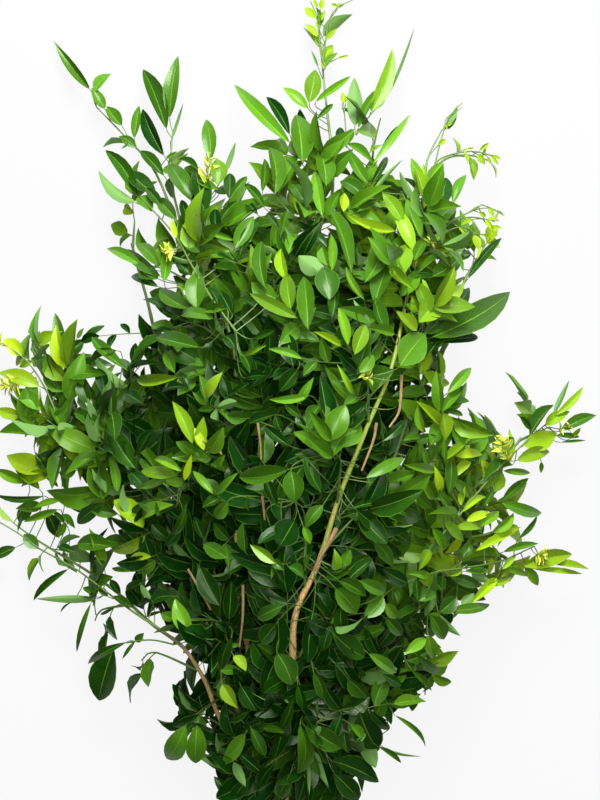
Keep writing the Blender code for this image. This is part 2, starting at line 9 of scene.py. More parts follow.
import bpy
import numpy as np
from bpy.props import FloatProperty, FloatVectorProperty, IntProperty, PointerProperty
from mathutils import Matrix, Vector


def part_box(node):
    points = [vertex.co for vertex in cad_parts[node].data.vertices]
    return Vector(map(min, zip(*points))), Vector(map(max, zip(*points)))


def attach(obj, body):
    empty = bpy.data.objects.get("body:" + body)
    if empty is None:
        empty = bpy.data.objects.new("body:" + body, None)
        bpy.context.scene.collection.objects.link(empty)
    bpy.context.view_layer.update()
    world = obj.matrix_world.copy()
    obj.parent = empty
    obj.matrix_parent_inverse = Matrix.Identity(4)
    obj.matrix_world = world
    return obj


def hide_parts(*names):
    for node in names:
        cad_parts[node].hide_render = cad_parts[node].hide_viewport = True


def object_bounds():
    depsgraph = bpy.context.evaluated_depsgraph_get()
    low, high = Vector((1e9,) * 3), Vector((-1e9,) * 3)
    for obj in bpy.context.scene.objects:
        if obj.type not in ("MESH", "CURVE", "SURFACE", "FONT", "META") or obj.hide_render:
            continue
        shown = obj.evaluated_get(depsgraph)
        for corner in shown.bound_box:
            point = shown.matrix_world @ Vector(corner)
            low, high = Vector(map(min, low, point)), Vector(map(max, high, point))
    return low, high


bl_info = {
    "name": "Murraya Foliage Bunch",
    "version": (1, 0, 0),
    "blender": (4, 5, 0),
    "location": "3D View > Sidebar > Foliage",
    "description": "Builds a banded bunch of murraya foliage from its stems, shoots and leaflets",
    "category": "Object",
}

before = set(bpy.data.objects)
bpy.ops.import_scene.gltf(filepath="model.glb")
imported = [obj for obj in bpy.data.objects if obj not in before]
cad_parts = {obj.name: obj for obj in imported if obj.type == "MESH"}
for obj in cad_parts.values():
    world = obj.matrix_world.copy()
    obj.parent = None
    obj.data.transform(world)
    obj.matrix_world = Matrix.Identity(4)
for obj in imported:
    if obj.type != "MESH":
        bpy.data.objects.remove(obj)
CAD_BOX = [[float(value) for value in corner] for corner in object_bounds()]

MM = 0.001
BODY = "root"
SEED = 5

# The first random stream of each kind of growth. Every piece draws from a stream of its own.
STREAMS = {
    "shoot": 0, "stem_leaves": 100, "stem": 200, "single": 300, "new": 350, "tuft": 400, "placed": 500,
    "low": 600,
}

# The band, as in the solids, and the step from the tables' place to the frame's.
TIE = np.array([-18.0, -408.0, 17.6])
TIE_INNER = 15.9
TIE_WALL = 1.6
TIE_WIDTH = 9.0
MIDDLE_SHIFT = 5.1
SEAT_GAP = 0.32
CUT_END = 50
CUT_STEP = 2.2
FAN_START = 30
BAND_BOX = np.array(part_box("band"), dtype=float)
STEP = BAND_BOX.mean(axis=0) - TIE * MM

# The band's mesh: places round it, corners of its section, how square that is, and how far it wavers.
BAND_PLACES = 72
BAND_CORNERS = 16
BAND_SQUARE = 0.5
BAND_WAVER = 0.25

# The outer sprays sink towards the surface, and what would pass through it is pressed flat.
SAG = 0.86
SAG_SIDE = 275
SAG_TOP = 340
SAG_FROM = 10
SOFT_HEIGHT = 14
FLOOR_MARGIN = 0.8

# Leaves turn their upper sides away from FACING_HEART, less towards each axis the larger its spread.
FACING_HEART = (0, -60, -10)
FACING_SPREAD = (150, 900, 90)

# How high the upper leaves stand: a dome's height and middle, its reach along X and Y, and its fall there.
CROWN_HEIGHT = 205
CROWN_MIDDLE = (30, -20)
CROWN_REACH = (240, 312)
CROWN_FALL = (70, 82)

# How far leaflets may reach past the solids' box, below it and above it along each axis.
PAST_LOW = (8, 8, 0)
PAST_HIGH = (8, 8, 4)

# Paths and tubes: the step between a path's points, the stations of a tube, and its corners all round.
STEM_STEP = 9
SHOOT_STEP = 6
TWIG_STEP = 4
STEM_STATIONS = 90
SHOOT_STATIONS = 14
TWIG_STATIONS = 24
STALK_STATIONS = 6
SHOOT_SIDES = 6
STALK_SIDES = 5
TWIG_SIDES = 8
TWIG_RADIUS = 1.35
TWIG_TIP_RADIUS = 0.55
RACHIS_RADIUS = 0.52
RACHIS_TIP_RADIUS = 0.36
BARE_TAPER = 0.6
STEEP = 0.8

# A stem's bark: its swollen joints, how it sways and how uneven it is, and where it has slimmed down.
JOINTS = 13
JOINT_EDGE = 0.86
JOINT_SWELL = 0.13
JOINTS_FROM = 0.12
SWAY_TURNS = (47, 39)
SWAY_FROM = 0.2
SWAY = 0.5
UNEVEN = 0.03
SLIM_SHARES = (0.3, 0.5)
SLIM = 0.85

# Whole leaves: how long their last leaflet is, how their stalk bows, and how their side leaflets stand.
TERMINAL_SHARE = 0.54
TERMINAL_LONGEST = 60
TERMINAL_SHORTEST = 22
SHORT_SHARE = 0.8
SINGLE_SHARE = 0.84
SINGLE_LONGEST = 66
STALK_BOW = (0.02, 0.14)
SIDES_FROM = 0.2
SIDES_SPAN = 0.78
SIDES_LAST = 0.97
SIDE_LEAN = (-0.05, 0.3)
LATERAL_ANGLE = math.radians(52)
LATERAL_SPREAD = 0.22
SIDES_JITTER = (0.2, 0.7)
SIDE_SIZE = (0.68, 0.3)
SIDE_SPREAD = (0.85, 1.1)
LEAFLET_OVERLAP = 1.5
GOLDEN_ANGLE = math.radians(137.5)
GOLDEN_SHARE = 0.618

# How unevenly leaves and leaflets face, where 0 is all alike: shoots' leaves, their last and side leaflets,
# leaves on stems, low leaves, placed leaves and leaflets, and buds by their place and one by one.
SHOOT_UNEVEN = 0.62
LAST_UNEVEN = 0.2
SIDE_UNEVEN = 0.5
STEM_UNEVEN = 0.85
LOW_UNEVEN = 0.5
PLACED_UNEVEN = 0.45
SINGLE_UNEVEN = 0.3
TUFT_UNEVEN = 0.3
BUD_UNEVEN = 0.4

# How far leaves lean out from a shoot and from a stem, and how much of their reach ahead that costs them.
SHOOT_LEAN = 0.75
STEM_LEAN = 0.9
LEAN_COST = 0.45

# Leaflets: the length and width that others are measured by, and how much less wide the long ones are.
USUAL_LENGTH = 42
USUAL_WIDTH = 0.5
WIDEST = 1.15
LONG_NARROWS = 0.35

# A placed leaflet stands for a table leaf whose tip is this near, and above OPEN_FROM no leaf is added.
SAME_TIP = 10
OPEN_FROM = 165
TWIG_LIFT = 2

# A placed leaflet: its height over the crown by its age, how far that strays, how far its foot lies below,
# how young it can be, how much wider it is than its row says, how calm it lies and the way it faces.
LIFT_AGES = (0.05, 0.2, 0.5)
LIFTS = (-10, 0, 7)
LIFT_SPREAD = 2
FOOT_DROP = 3
YOUNGEST_PLACED = 0.72
PLACED_WIDER = 1.1
PLACED_CALM = 0.5
PLACED_FACING = np.array([0.0, 0.25, 1.0])

# Its stalk: how far behind and below the leaflet it bows, as a share of its span and at most.
STALK_BEHIND = (0.35, 10)
STALK_BELOW = (0.6, 26)

# The leaflets beside a long stalk, which start BARE_STALK from its foot and stand STALK_GAP apart: the
# first one's place in gaps, the way they point, how long they are and their share of the placed one's age.
STALK_GAP = 12
BARE_STALK = 26
BESIDE_FIRST = 1.6
BESIDE_AHEAD = 0.6
BESIDE_OUT = 0.8
BESIDE_DROOP = 0.3
BESIDE_LONGEST = 40
BESIDE_SPREAD = (0.55, 0.8)
BESIDE_AGE = 0.6

# Where a leaflet's ring of eight corners lies across the blade, which of them are on its underside, and
# where the rings stand along it.
RING_ACROSS = np.array([-1, -0.5, 0, 0.5, 1, 0.5, 0, -0.5])
RING_UNDER = np.array([0, 0, 0, 0, 0, 1, 1, 1])
UNDER_FROM = 4
RINGS = np.array([0.05, 0.19, 0.38, 0.6, 0.82, 0.955])
FINE_RINGS = np.array([0.04, 0.14, 0.27, 0.43, 0.6, 0.76, 0.89, 0.97])

# A blade's cup: its power across, how much it narrows the blade, and how far the midrib lies below.
CUP_POWER = 1.4
CUP_NARROWS = 0.9
CUP_SINK = 0.25
TWIST_FROM = 0.3

# How leaflets differ: each measure, its spread and that spread's two numbers, in the order they are drawn.
VARIETY = (
    ("fold", "uniform", 0.25, 1.0), ("arch", "uniform", 0.0, 0.14), ("curl", "uniform", 0.04, 0.3),
    ("twist", "normal", 0, 0.35), ("wave", "uniform", 0.0, 0.16), ("phase", "uniform", 0, math.tau),
    ("width", "uniform", 0.85, 1.12), ("foot", "uniform", 0.78, 0.98), ("point", "uniform", 0.68, 0.95),
    ("sway", "normal", 0, 0.04),
)
FRESH_AGE = 0.45
FRESH_FOOT = -0.14
FRESH_POINT = 0.25
AGE_SPREAD = 0.1

# Leaf looks: the light that passes through, the sheen, and a tint for the young colour and the underside.
LEAF_LOOKS = {
    "leaf_surface": ((0.065, 0.24, 0.004, 1.0), 0.28, None),
    # The old leaves let much darker light through: partly their age, partly painted shade of the inner and
    # lower leaves.
    "old_leaf_surface": ((0.01, 0.06, 0.001, 1.0), 0.12, None),
    "young_leaf_surface": ((0.40, 0.58, 0.012, 1.0), 0.3, None),
    "bud_surface": ((0.6, 0.7, 0.06, 1.0), 0.3, (0.52, 0.6, 0.07, 1.0)),
}
SHEEN_TINT = (0.85, 1.0, 0.75, 1.0)
LIGHT_THROUGH = 0.15

# The leaf's drawing across and along its blade: the midrib's half width at the foot and its loss to the tip,
# its soft edge, the side veins' number, slant, edge and fade, and the rim, a paler edge that is a painted
# highlight.
UNDERSIDE = 1.5
RIB_WIDTH = (0.026, 0.014)
RIB_EDGE = (0.55, 1.25)
VEINS = 13.0
VEIN_SLANT = 7.0
VEIN_EDGE = (0.02, 0.22)
VEIN_FADE = (0.48, 0.30)
RIM_HIGHLIGHT = (0.46, 0.5)

# Its colours: the ages over which it turns grown and young, and how strongly the veins, rib and painted rim
# highlight show on top, and the rib and young colour below. Its light, roughness and height: a start and
# what patterns add.
GROWN_AGES = (0.04, 0.5)
YOUNG_AGES = (0.4, 1.0)
VEINS_SHOW = 0.16
RIB_SHOWS = 0.62
RIM_HIGHLIGHT_SHOWS = 0.45
UNDER_SHOWS = 0.5
LEAF_LIGHT = (0.66, 0.5, 0.28)
LEAF_ROUGH = (0.2, 0.35, 0.14)
LEAF_HEIGHT = (0.3, 0.9, 0.35)

# Noises: scale, detail and roughness. Bumps: strength and depth in metres.
LEAF_MOTTLE = (55.0, 3.0, 0.6)
BARK_PATCHES = (60.0, 3.0, 0.6)
BARK_STREAKS = (900.0, 4.0, 0.5)
BAND_GRAIN = (220.0, 4.0, 0.6)
LEAF_BUMP = (0.35, 0.0006)
BARK_BUMP = (0.5, 0.0008)

# Bark looks: the colours at the foot and the tip, and the shares of the length where one becomes the other.
# The dark old bark of the stems further back is partly painted shade, and the light tan of the stems in
# front partly painted light.
BARK_LOOKS = {
    "bark_surface": ("bark_low", "bark_green", 0.45, 0.8),
    "tan_bark_surface": ("bark_tan", "bark_green", 0.72, 0.92),
    "brown_bark_surface": ("bark_brown", "bark_green", 0.72, 0.92),
    "yellow_bark_surface": ("bark_tan", "bark_yellow", 0.6, 0.74),
    "twig_surface": ("bark_low", "bark_green", 0.2, 0.6),
}
BARK_STREAK = (0.085, 0.06, 0.03, 1.0)
BARK_STRETCH = (1.0, 0.14, 1.0)
PATCH_REACH = 0.3
STREAK_EDGE = (0.62, 0.38)
STREAK_SHOWS = (0.5, 0.35)
BARK_ROUGH = (0.8, 0.3)
BAND_DUST = (0.55, 0.42, 0.28, 1.0)
DUST_EDGE = (0.45, 0.7)
BAND_ROUGH = (0.5, 0.25)

# The stage: the floor's half side and drop below the leaves in metres, and how white it and the world show.
FLOOR_SIZE = 6.0
FLOOR_DROP = 0.0004
FLOOR_GREY = (0.55, 0.55, 0.55, 1.0)
FLOOR_ROUGHNESS = 0.9
FLOOR_SHEEN = 0.1
FLOOR_WHITE = (0.945, 0.95, 0.945, 1.0)
WORLD_COLOUR = (0.95, 0.97, 1.0, 1.0)
SHOWN_WHITE = 0.93
WORLD_LIGHT = 0.055

# Lamps: name, place and target in metres, size, power.
LAMPS = (
    ("key", (0.1, 1.5, 1.15), (0, 0, 0.08), 0.9, 86.0),
    ("front", (0.25, 0.2, 2.2), (0, 0, 0.05), 1.2, 48.0),
)

# The camera's distance above the leaves, the height that its view is measured at and how tall that is there.
VIEW_DISTANCE = 2140
FOCUS_HEIGHT = 60
VIEW_TALL = 700
SENSOR = 36.0

# Edges that bend more than this are creases, in degrees: a leaflet's rim, and its midrib where it folds.
SHARP_ANGLE = 34

# Leaves grow older and darker towards the heart given below and are youngest its reach away: left, right, up
# or down. The dark heart is partly painted shade, and the young colour outwards partly painted light.
OLD_SHADED_HEART = (-10, -165)
OLD_SHADED_REACH = (215, 142, 330, 250)
AGE_GAIN = 0.56
AGE_FARTHEST = 1.1
AGE_NOISE = 0.05
AGE_SHIFT = 0.04

# Stem: name, place in the band (0 is the middle), lower and upper radius, points above the band.
STEMS = {
    "stem_left_low": (4, 3.3, 1.3, [
        (-50, -332, 34), (-72, -276, 54), (-96, -224, 74), (-128, -198, 88), (-169, -164, 96),
        (-205, -142, 98)]),
    "stem_left": (3, 3.5, 1.4, [
        (-37, -330, 50), (-57, -262, 72), (-80, -190, 86), (-112, -120, 98), (-150, -62, 106),
        (-190, -18, 104), (-222, 14, 98)]),
    "stem_left_high": (0, 3.8, 1.4, [
        (-29, -330, 38), (-42, -240, 84), (-54, -140, 112), (-54, -40, 122), (-58, 48, 122),
        (-84, 105, 118), (-109, 157, 112)]),
    "stem_top": (6, 3.8, 1.4, [
        (-26, -330, 22), (-24, -240, 58), (-30, -140, 88), (-34, -30, 108), (-20, 60, 114),
        (8, 130, 114), (28, 180, 110), (28, 223, 104)]),
    "stem_front": (2, 4.4, 1.4, [
        (-12, -330, 62), (-7, -250, 108), (-4, -184, 134), (16, -134, 150), (38, -67, 160),
        (54, -28, 162), (74, 17, 156), (88, 70, 146), (102, 130, 134), (117, 202, 116)]),
    "stem_right_high": (7, 3.8, 1.4, [
        (-8, -330, 26), (16, -250, 66), (42, -170, 96), (66, -90, 112), (92, -20, 114),
        (120, 50, 108), (146, 108, 100)]),
    "stem_right": (1, 3.6, 1.4, [
        (8, -330, 46), (40, -262, 76), (84, -186, 96), (128, -120, 102), (166, -68, 102),
        (196, -34, 98)]),
    "stem_right_low": (9, 3.3, 1.3, [
        (17, -334, 26), (56, -276, 46), (102, -222, 62), (150, -178, 74), (190, -148, 80)]),
    "stem_back_right": (8, 3.6, 1.4, [
        (0, -330, 13), (14, -240, 26), (24, -120, 40), (36, 0, 50), (48, 90, 50), (58, 150, 48),
        (62, 190, 48)]),
    "stem_back_left": (5, 3.4, 1.4, [
        (-40, -336, 14), (-62, -250, 28), (-84, -150, 42), (-104, -50, 48), (-124, 40, 50),
        (-142, 110, 48), (-150, 140, 46)]),
}

# Shoot: name, stem, share of the stem's length where it grows (1 is the stem's tip), points of its twig,
# and its leaves as (share of the twig, tip x, y, z, number of leaflets).
SHOOTS = {
    "shoot_top_left_tip": ("stem_left_high", 1, [(-130, 205, 104), (-156, 235, 95), (-182, 262, 86)], [
        (1, -218, 315, 70, 1), (0.93, -166, 288, 102, 1), (0.8, -141, 260, 112, 1),
        (0.66, -176, 230, 84, 2), (0.42, -177, 200, 76, 2), (0.5, -139, 222, 124, 1)]),
    "shoot_top_left_side": ("stem_left_high", 0.965, [(-114, 196, 122), (-113, 238, 120)], [
        (1, -106, 302, 104, 1), (0.93, -138, 292, 124, 1), (0.8, -96, 262, 128, 2),
        (0.45, -80, 248, 118, 3), (0.2, -57, 226, 112, 3)]),
    "shoot_high_left": ("stem_left_high", 0.9, [(-84, 138, 132), (-88, 166, 136)], [
        (1, -118, 212, 142, 3), (0.8, -80, 212, 148, 3), (0.5, -56, 186, 138, 3)]),
    "shoot_left_upper_a": ("stem_left_high", 0.87, [(-112, 112, 104), (-130, 118, 98)], [
        (1, -172, 134, 88, 3), (0.8, -147, 152, 98, 3), (0.5, -150, 104, 88, 3)]),
    "shoot_left_upper_b": ("stem_left_high", 0.79, [(-82, 62, 136), (-98, 68, 138)], [
        (1, -140, 92, 130, 3), (0.8, -128, 56, 132, 3), (0.6, -89, 120, 146, 3),
        (0.3, -84, 36, 150, 2)]),
    "shoot_left_tip": ("stem_left", 1, [(-236, 32, 97)], [
        (1, -266, 54, 94, 3), (0.75, -234, 62, 104, 1), (0.5, -217, 80, 106, 1),
        (0.25, -192, 44, 112, 1), (0.9, -268, 24, 86, 2)]),
    "shoot_left_a": ("stem_left", 0.93, [(-214, -22, 108), (-230, -26, 106)], [
        (1, -264, -42, 100, 2), (0.8, -250, -68, 92, 2), (0.5, -262, 4, 96, 3)]),
    "shoot_left_b": ("stem_left", 0.85, [(-162, -20, 120), (-160, 6, 124)], [
        (1, -190, 56, 124, 3), (0.85, -140, 52, 128, 3), (0.5, -128, 22, 138, 2),
        (0.3, -200, 8, 116, 2)]),
    "shoot_left_c": ("stem_left", 0.7, [(-106, -90, 124), (-98, -58, 136)], [
        (1, -113, 4, 150, 3), (0.85, -68, -8, 150, 3), (0.5, -140, -38, 138, 3)]),
    "shoot_left_d": ("stem_left", 0.62, [(-126, -124, 120), (-140, -114, 126)], [
        (1, -171, -84, 126, 3), (0.8, -143, -62, 136, 3), (0.5, -174, -122, 112, 2)]),
    "shoot_left_low_tip": ("stem_left_low", 1, [(-236, -124, 98), (-256, -110, 94)], [
        (1, -272, -94, 90, 1), (0.85, -266, -132, 84, 1), (0.7, -238, -88, 100, 1),
        (0.4, -246, -160, 80, 2), (0.15, -232, -184, 78, 2)]),
    "shoot_left_low_a": ("stem_left_low", 0.82, [(-176, -186, 84), (-182, -196, 80)], [
        (1, -200, -228, 66, 2), (0.7, -228, -182, 76, 2), (0.4, -178, -238, 62, 3)]),
    "shoot_left_low_b": ("stem_left_low", 0.6, [(-128, -222, 76), (-140, -230, 72)], [
        (1, -184, -266, 48, 2), (0.7, -156, -268, 52, 3), (0.4, -119, -252, 74, 2)]),
    "shoot_bottom_left": ("stem_left_low", 0.46, [(-84, -280, 48), (-92, -286, 44)], [
        (1, -117, -318, 30, 2), (0.75, -93, -324, 34, 2), (0.5, -128, -288, 44, 2)]),
    "shoot_bottom": ("stem_front", 0.2, [(-34, -288, 98), (-42, -292, 98)], [
        (1, -69, -326, 80, 2), (0.6, -38, -336, 88, 2)]),
    "shoot_bottom_front": ("stem_front", 0.26, [(10, -268, 122), (14, -274, 122)], [
        (1, -3, -333, 96, 2), (0.7, 45, -302, 100, 2)]),
    "shoot_bottom_right": ("stem_right_low", 0.4, [(62, -290, 46), (72, -296, 42)], [
        (1, 108, -312, 34, 2), (0.8, 72, -336, 28, 2), (0.5, 50, -350, 30, 2)]),
    "shoot_low_right_a": ("stem_right_low", 0.62, [(106, -238, 58), (110, -246, 54)], [
        (1, 114, -300, 42, 3), (0.8, 136, -252, 50, 2), (0.5, 142, -224, 66, 2)]),
    "shoot_low_right_b": ("stem_right", 0.46, [(84, -212, 104), (90, -222, 106)], [
        (1, 98, -272, 90, 3), (0.7, 128, -222, 98, 2), (0.4, 60, -250, 104, 2)]),
    "shoot_right_low_tip": ("stem_right_low", 1, [(214, -143, 84)], [
        (1, 254, -149, 82, 2), (0.9, 242, -132, 94, 2), (0.5, 212, -122, 98, 1),
        (0.4, 214, -166, 74, 1)]),
    "shoot_right_a": ("stem_right", 0.82, [(170, -96, 112), (180, -94, 114)], [
        (1, 216, -100, 110, 2), (0.8, 203, -64, 118, 2), (0.5, 200, -130, 102, 2),
        (0.2, 152, -128, 122, 2)]),
    "shoot_right_tip": ("stem_right", 1, [(222, -24, 98)], [
        (1, 262, -12, 94, 2), (0.95, 249, 14, 104, 2), (0.7, 230, 22, 110, 1),
        (0.8, 252, -36, 90, 1), (0.5, 222, -54, 94, 1), (0.3, 190, -6, 108, 1)]),
    "shoot_right_b": ("stem_right", 0.7, [(128, -86, 122), (132, -70, 128)], [
        (1, 160, -34, 134, 3), (0.7, 110, -38, 140, 3), (0.4, 172, -70, 128, 2)]),
    "shoot_right_c": ("stem_right_high", 0.79, [(116, 0, 128), (124, 6, 132)], [
        (1, 152, 32, 132, 3), (0.75, 122, 44, 142, 3), (0.5, 154, 2, 124, 2)]),
    "shoot_right_d": ("stem_right_high", 0.9, [(138, 58, 118), (144, 62, 120)], [
        (1, 190, 99, 114, 2), (0.8, 160, 54, 112, 2), (0.5, 142, 118, 126, 2)]),
    "shoot_high_right_tip": ("stem_right_high", 1, [(158, 128, 98)], [
        (1, 178, 158, 94, 3), (0.8, 176, 128, 88, 1), (0.5, 156, 160, 106, 2)]),
    "shoot_arch": ("stem_front", 1, [(129, 214, 114), (150, 218, 108), (170, 213, 98)], [
        (1, 178, 200, 90, 1), (0.85, 166, 228, 108, 1), (0.65, 156, 196, 98, 1),
        (0.5, 140, 234, 116, 1), (0.3, 136, 192, 108, 1)]),
    "shoot_bare_twig": ("stem_front", 0.955, [(112, 210, 128), (126, 240, 122)], [
        (1, 142, 262, 114, 1), (0.6, 96, 236, 130, 1), (0.25, 134, 208, 134, 1)]),
    "shoot_high_right_a": ("stem_front", 0.93, [(94, 172, 136), (90, 180, 138)], [
        (1, 92, 216, 138, 2), (0.7, 62, 204, 140, 3)]),
    "shoot_high_right_b": ("stem_front", 0.88, [(112, 128, 148), (116, 134, 150)], [
        (1, 137, 176, 148, 2), (0.7, 142, 124, 138, 2), (0.4, 94, 172, 158, 3)]),
    "shoot_high_right_c": ("stem_front", 0.83, [(76, 108, 160), (70, 116, 164)], [
        (1, 42, 166, 166, 3), (0.7, 40, 116, 170, 3), (0.4, 76, 150, 174, 2)]),
    "shoot_high_right_d": ("stem_front", 0.76, [(106, 58, 160), (112, 62, 162)], [
        (1, 148, 84, 154, 3), (0.7, 104, 106, 172, 3), (0.4, 126, 30, 158, 2)]),
    "shoot_top_tip": ("stem_top", 1, [(23, 266, 98), (19, 310, 90), (17, 334, 86)], [
        (1, 16, 353, 84, 1), (0.9, 44, 348, 86, 1), (0.82, 6, 336, 82, 1), (0.7, 30, 318, 98, 1),
        (0.42, 14, 294, 108, 1), (0.36, 45, 287, 96, 1), (0.3, -15, 276, 90, 1)]),
    "shoot_top_a": ("stem_top", 0.955, [(8, 208, 116), (-6, 216, 116)], [
        (1, -59, 283, 108, 3), (0.85, -26, 270, 120, 3), (0.5, -44, 228, 110, 3)]),
    "shoot_top_b": ("stem_top", 0.9, [(-4, 158, 132), (-12, 166, 136)], [
        (1, -36, 214, 138, 3), (0.7, 8, 212, 144, 3), (0.4, -54, 168, 132, 3)]),
    "shoot_back_right_tip": ("stem_back_right", 1, [(66, 226, 50), (72, 252, 52)], [
        (1, 100, 322, 20, 1), (0.9, 80, 308, 40, 1), (0.6, 50, 282, 60, 2), (0.4, 104, 256, 10, 2)]),
    "shoot_centre_a": ("stem_top", 0.8, [(-22, 98, 134), (-22, 108, 140)], [
        (1, -22, 158, 150, 3), (0.7, 6, 136, 154, 3), (0.4, -62, 118, 138, 3)]),
    "shoot_centre_b": ("stem_top", 0.7, [(-16, 30, 136), (-12, 40, 146)], [
        (1, 4, 98, 160, 4), (0.7, -48, 84, 156, 3), (0.4, 30, 62, 160, 3)]),
    "shoot_centre_c": ("stem_front", 0.655, [(56, 24, 180), (52, 30, 184)], [
        (1, 14, 66, 196, 3), (0.7, 50, 84, 200, 3), (0.4, 86, 40, 196, 3)]),
    "shoot_front_a": ("stem_front", 0.555, [(34, -50, 182), (30, -44, 186)], [
        (1, 9, -6, 208, 2), (0.7, 43, 2, 212, 3), (0.4, 0, -36, 202, 2)]),
    "shoot_front_b": ("stem_front", 0.45, [(4, -96, 170), (-4, -84, 176)], [
        (1, -56, -66, 196, 2), (0.8, -22, -22, 204, 3), (0.4, -46, -122, 188, 2)]),
    "shoot_front_c": ("stem_front", 0.5, [(52, -92, 168), (58, -94, 172)], [
        (1, 109, -100, 176, 2), (0.7, 92, -62, 190, 2), (0.4, 66, -142, 172, 2)]),
    "shoot_low_front": ("stem_front", 0.35, [(18, -182, 148), (26, -184, 150)], [
        (1, 62, -226, 142, 3), (0.7, 66, -172, 154, 2), (0.4, 8, -220, 150, 2)]),
    "shoot_low_left_front": ("stem_left_high", 0.36, [(-66, -190, 124), (-74, -188, 130)], [
        (1, -120, -166, 128, 3), (0.7, -94, -136, 140, 3), (0.4, -96, -222, 120, 3)]),
    "shoot_back_a": ("stem_back_right", 0.62, [(66, -20, 34), (84, -10, 24)], [
        (1, 148, 24, -8, 3), (0.7, 122, -60, -8, 3), (0.5, 92, 66, -6, 3), (0.25, 10, 6, -6, 3)]),
    "shoot_back_b": ("stem_back_right", 0.4, [(40, -140, 26), (58, -136, 18)], [
        (1, 118, -148, -8, 3), (0.6, 72, -210, -6, 3), (0.4, 70, -84, -4, 2)]),
    "shoot_back_c": ("stem_back_left", 0.56, [(-118, -92, 28), (-132, -84, 20)], [
        (1, -182, -92, -8, 3), (0.6, -158, -24, -8, 3), (0.3, -72, -110, -6, 3)]),
    "shoot_back_d": ("stem_back_left", 0.76, [(-104, 40, 32), (-92, 54, 22)], [
        (1, -52, 90, -8, 3), (0.6, -44, 20, -8, 3), (0.3, -128, 86, -4, 2)]),
    "shoot_back_left_tip": ("stem_back_left", 1, [(-148, 160, 34)], [
        (1, -150, 216, -4, 3), (0.7, -110, 204, -8, 3), (0.4, -172, 158, -6, 2)]),
}

# How many more leaves each shoot carries than its table row gives, where the others carry DEFAULT_MORE, and
# how young its leaves are (0 to 1). Those above YOUNG_SLOT_ABOVE have the young leaves' slot and look.
MORE_LEAVES = {
    "shoot_top_left_tip": 0, "shoot_top_left_side": 1, "shoot_left_tip": 2, "shoot_left_low_tip": 1,
    "shoot_bare_twig": 0, "shoot_arch": 0, "shoot_top_tip": 0, "shoot_back_right_tip": 1,
    "shoot_right_tip": 1, "shoot_right_low_tip": 1, "shoot_high_right_tip": 1,
    "shoot_left_low_a": 0, "shoot_left_low_b": 0, "shoot_bottom_left": 1, "shoot_bottom_right": 2,
    "shoot_back_left_tip": 0, "shoot_left_upper_a": 1, "shoot_right_a": 2,
}
YOUNG = {
    "shoot_left_tip": 0.85, "shoot_left_a": 0.7, "shoot_top_tip": 0.8, "shoot_arch": 0.9,
    "shoot_bare_twig": 0.55, "shoot_high_right_tip": 0.5, "shoot_high_right_c": 0.42,
    "shoot_right_tip": 0.5, "shoot_right_low_tip": 0.6, "shoot_left_low_tip": 0.4,
    "shoot_left_c": 0.5, "shoot_left_d": 0.5, "shoot_centre_a": 0.4, "shoot_front_a": 0.35,
    "shoot_high_right_d": 0.45, "shoot_top_a": 0.3,
}
YOUNG_SLOT_ABOVE = 0.6
DEFAULT_MORE = 3

# Those further leaves: their lengths, their leaflets, and where on the twig they start and over what share.
MORE_LENGTHS = (44, 72)
MORE_LEAFLETS = 5
MORE_FROM = 0.15
MORE_SPAN = 0.8

# A shoot starts BARK_CLEAR over its stem's bark, or TIP_OVERLAP below its stem's tip. Table leaves stand no
# further out than TWIG_LAST, have ADDED_LEAFLETS more, and are as young as their place or their shoot says.
BARK_CLEAR = 2.5
TIP_OVERLAP = 3
TWIG_LAST = 0.985
ADDED_LEAFLETS = 2
YOUNG_SHARE = 0.8

# How much older leaves are than their place: table leaves, added and low leaves, and leaves on stems.
TABLE_OLDER = 0.06
MORE_OLDER = 0.12
STEM_OLDER = 0.16
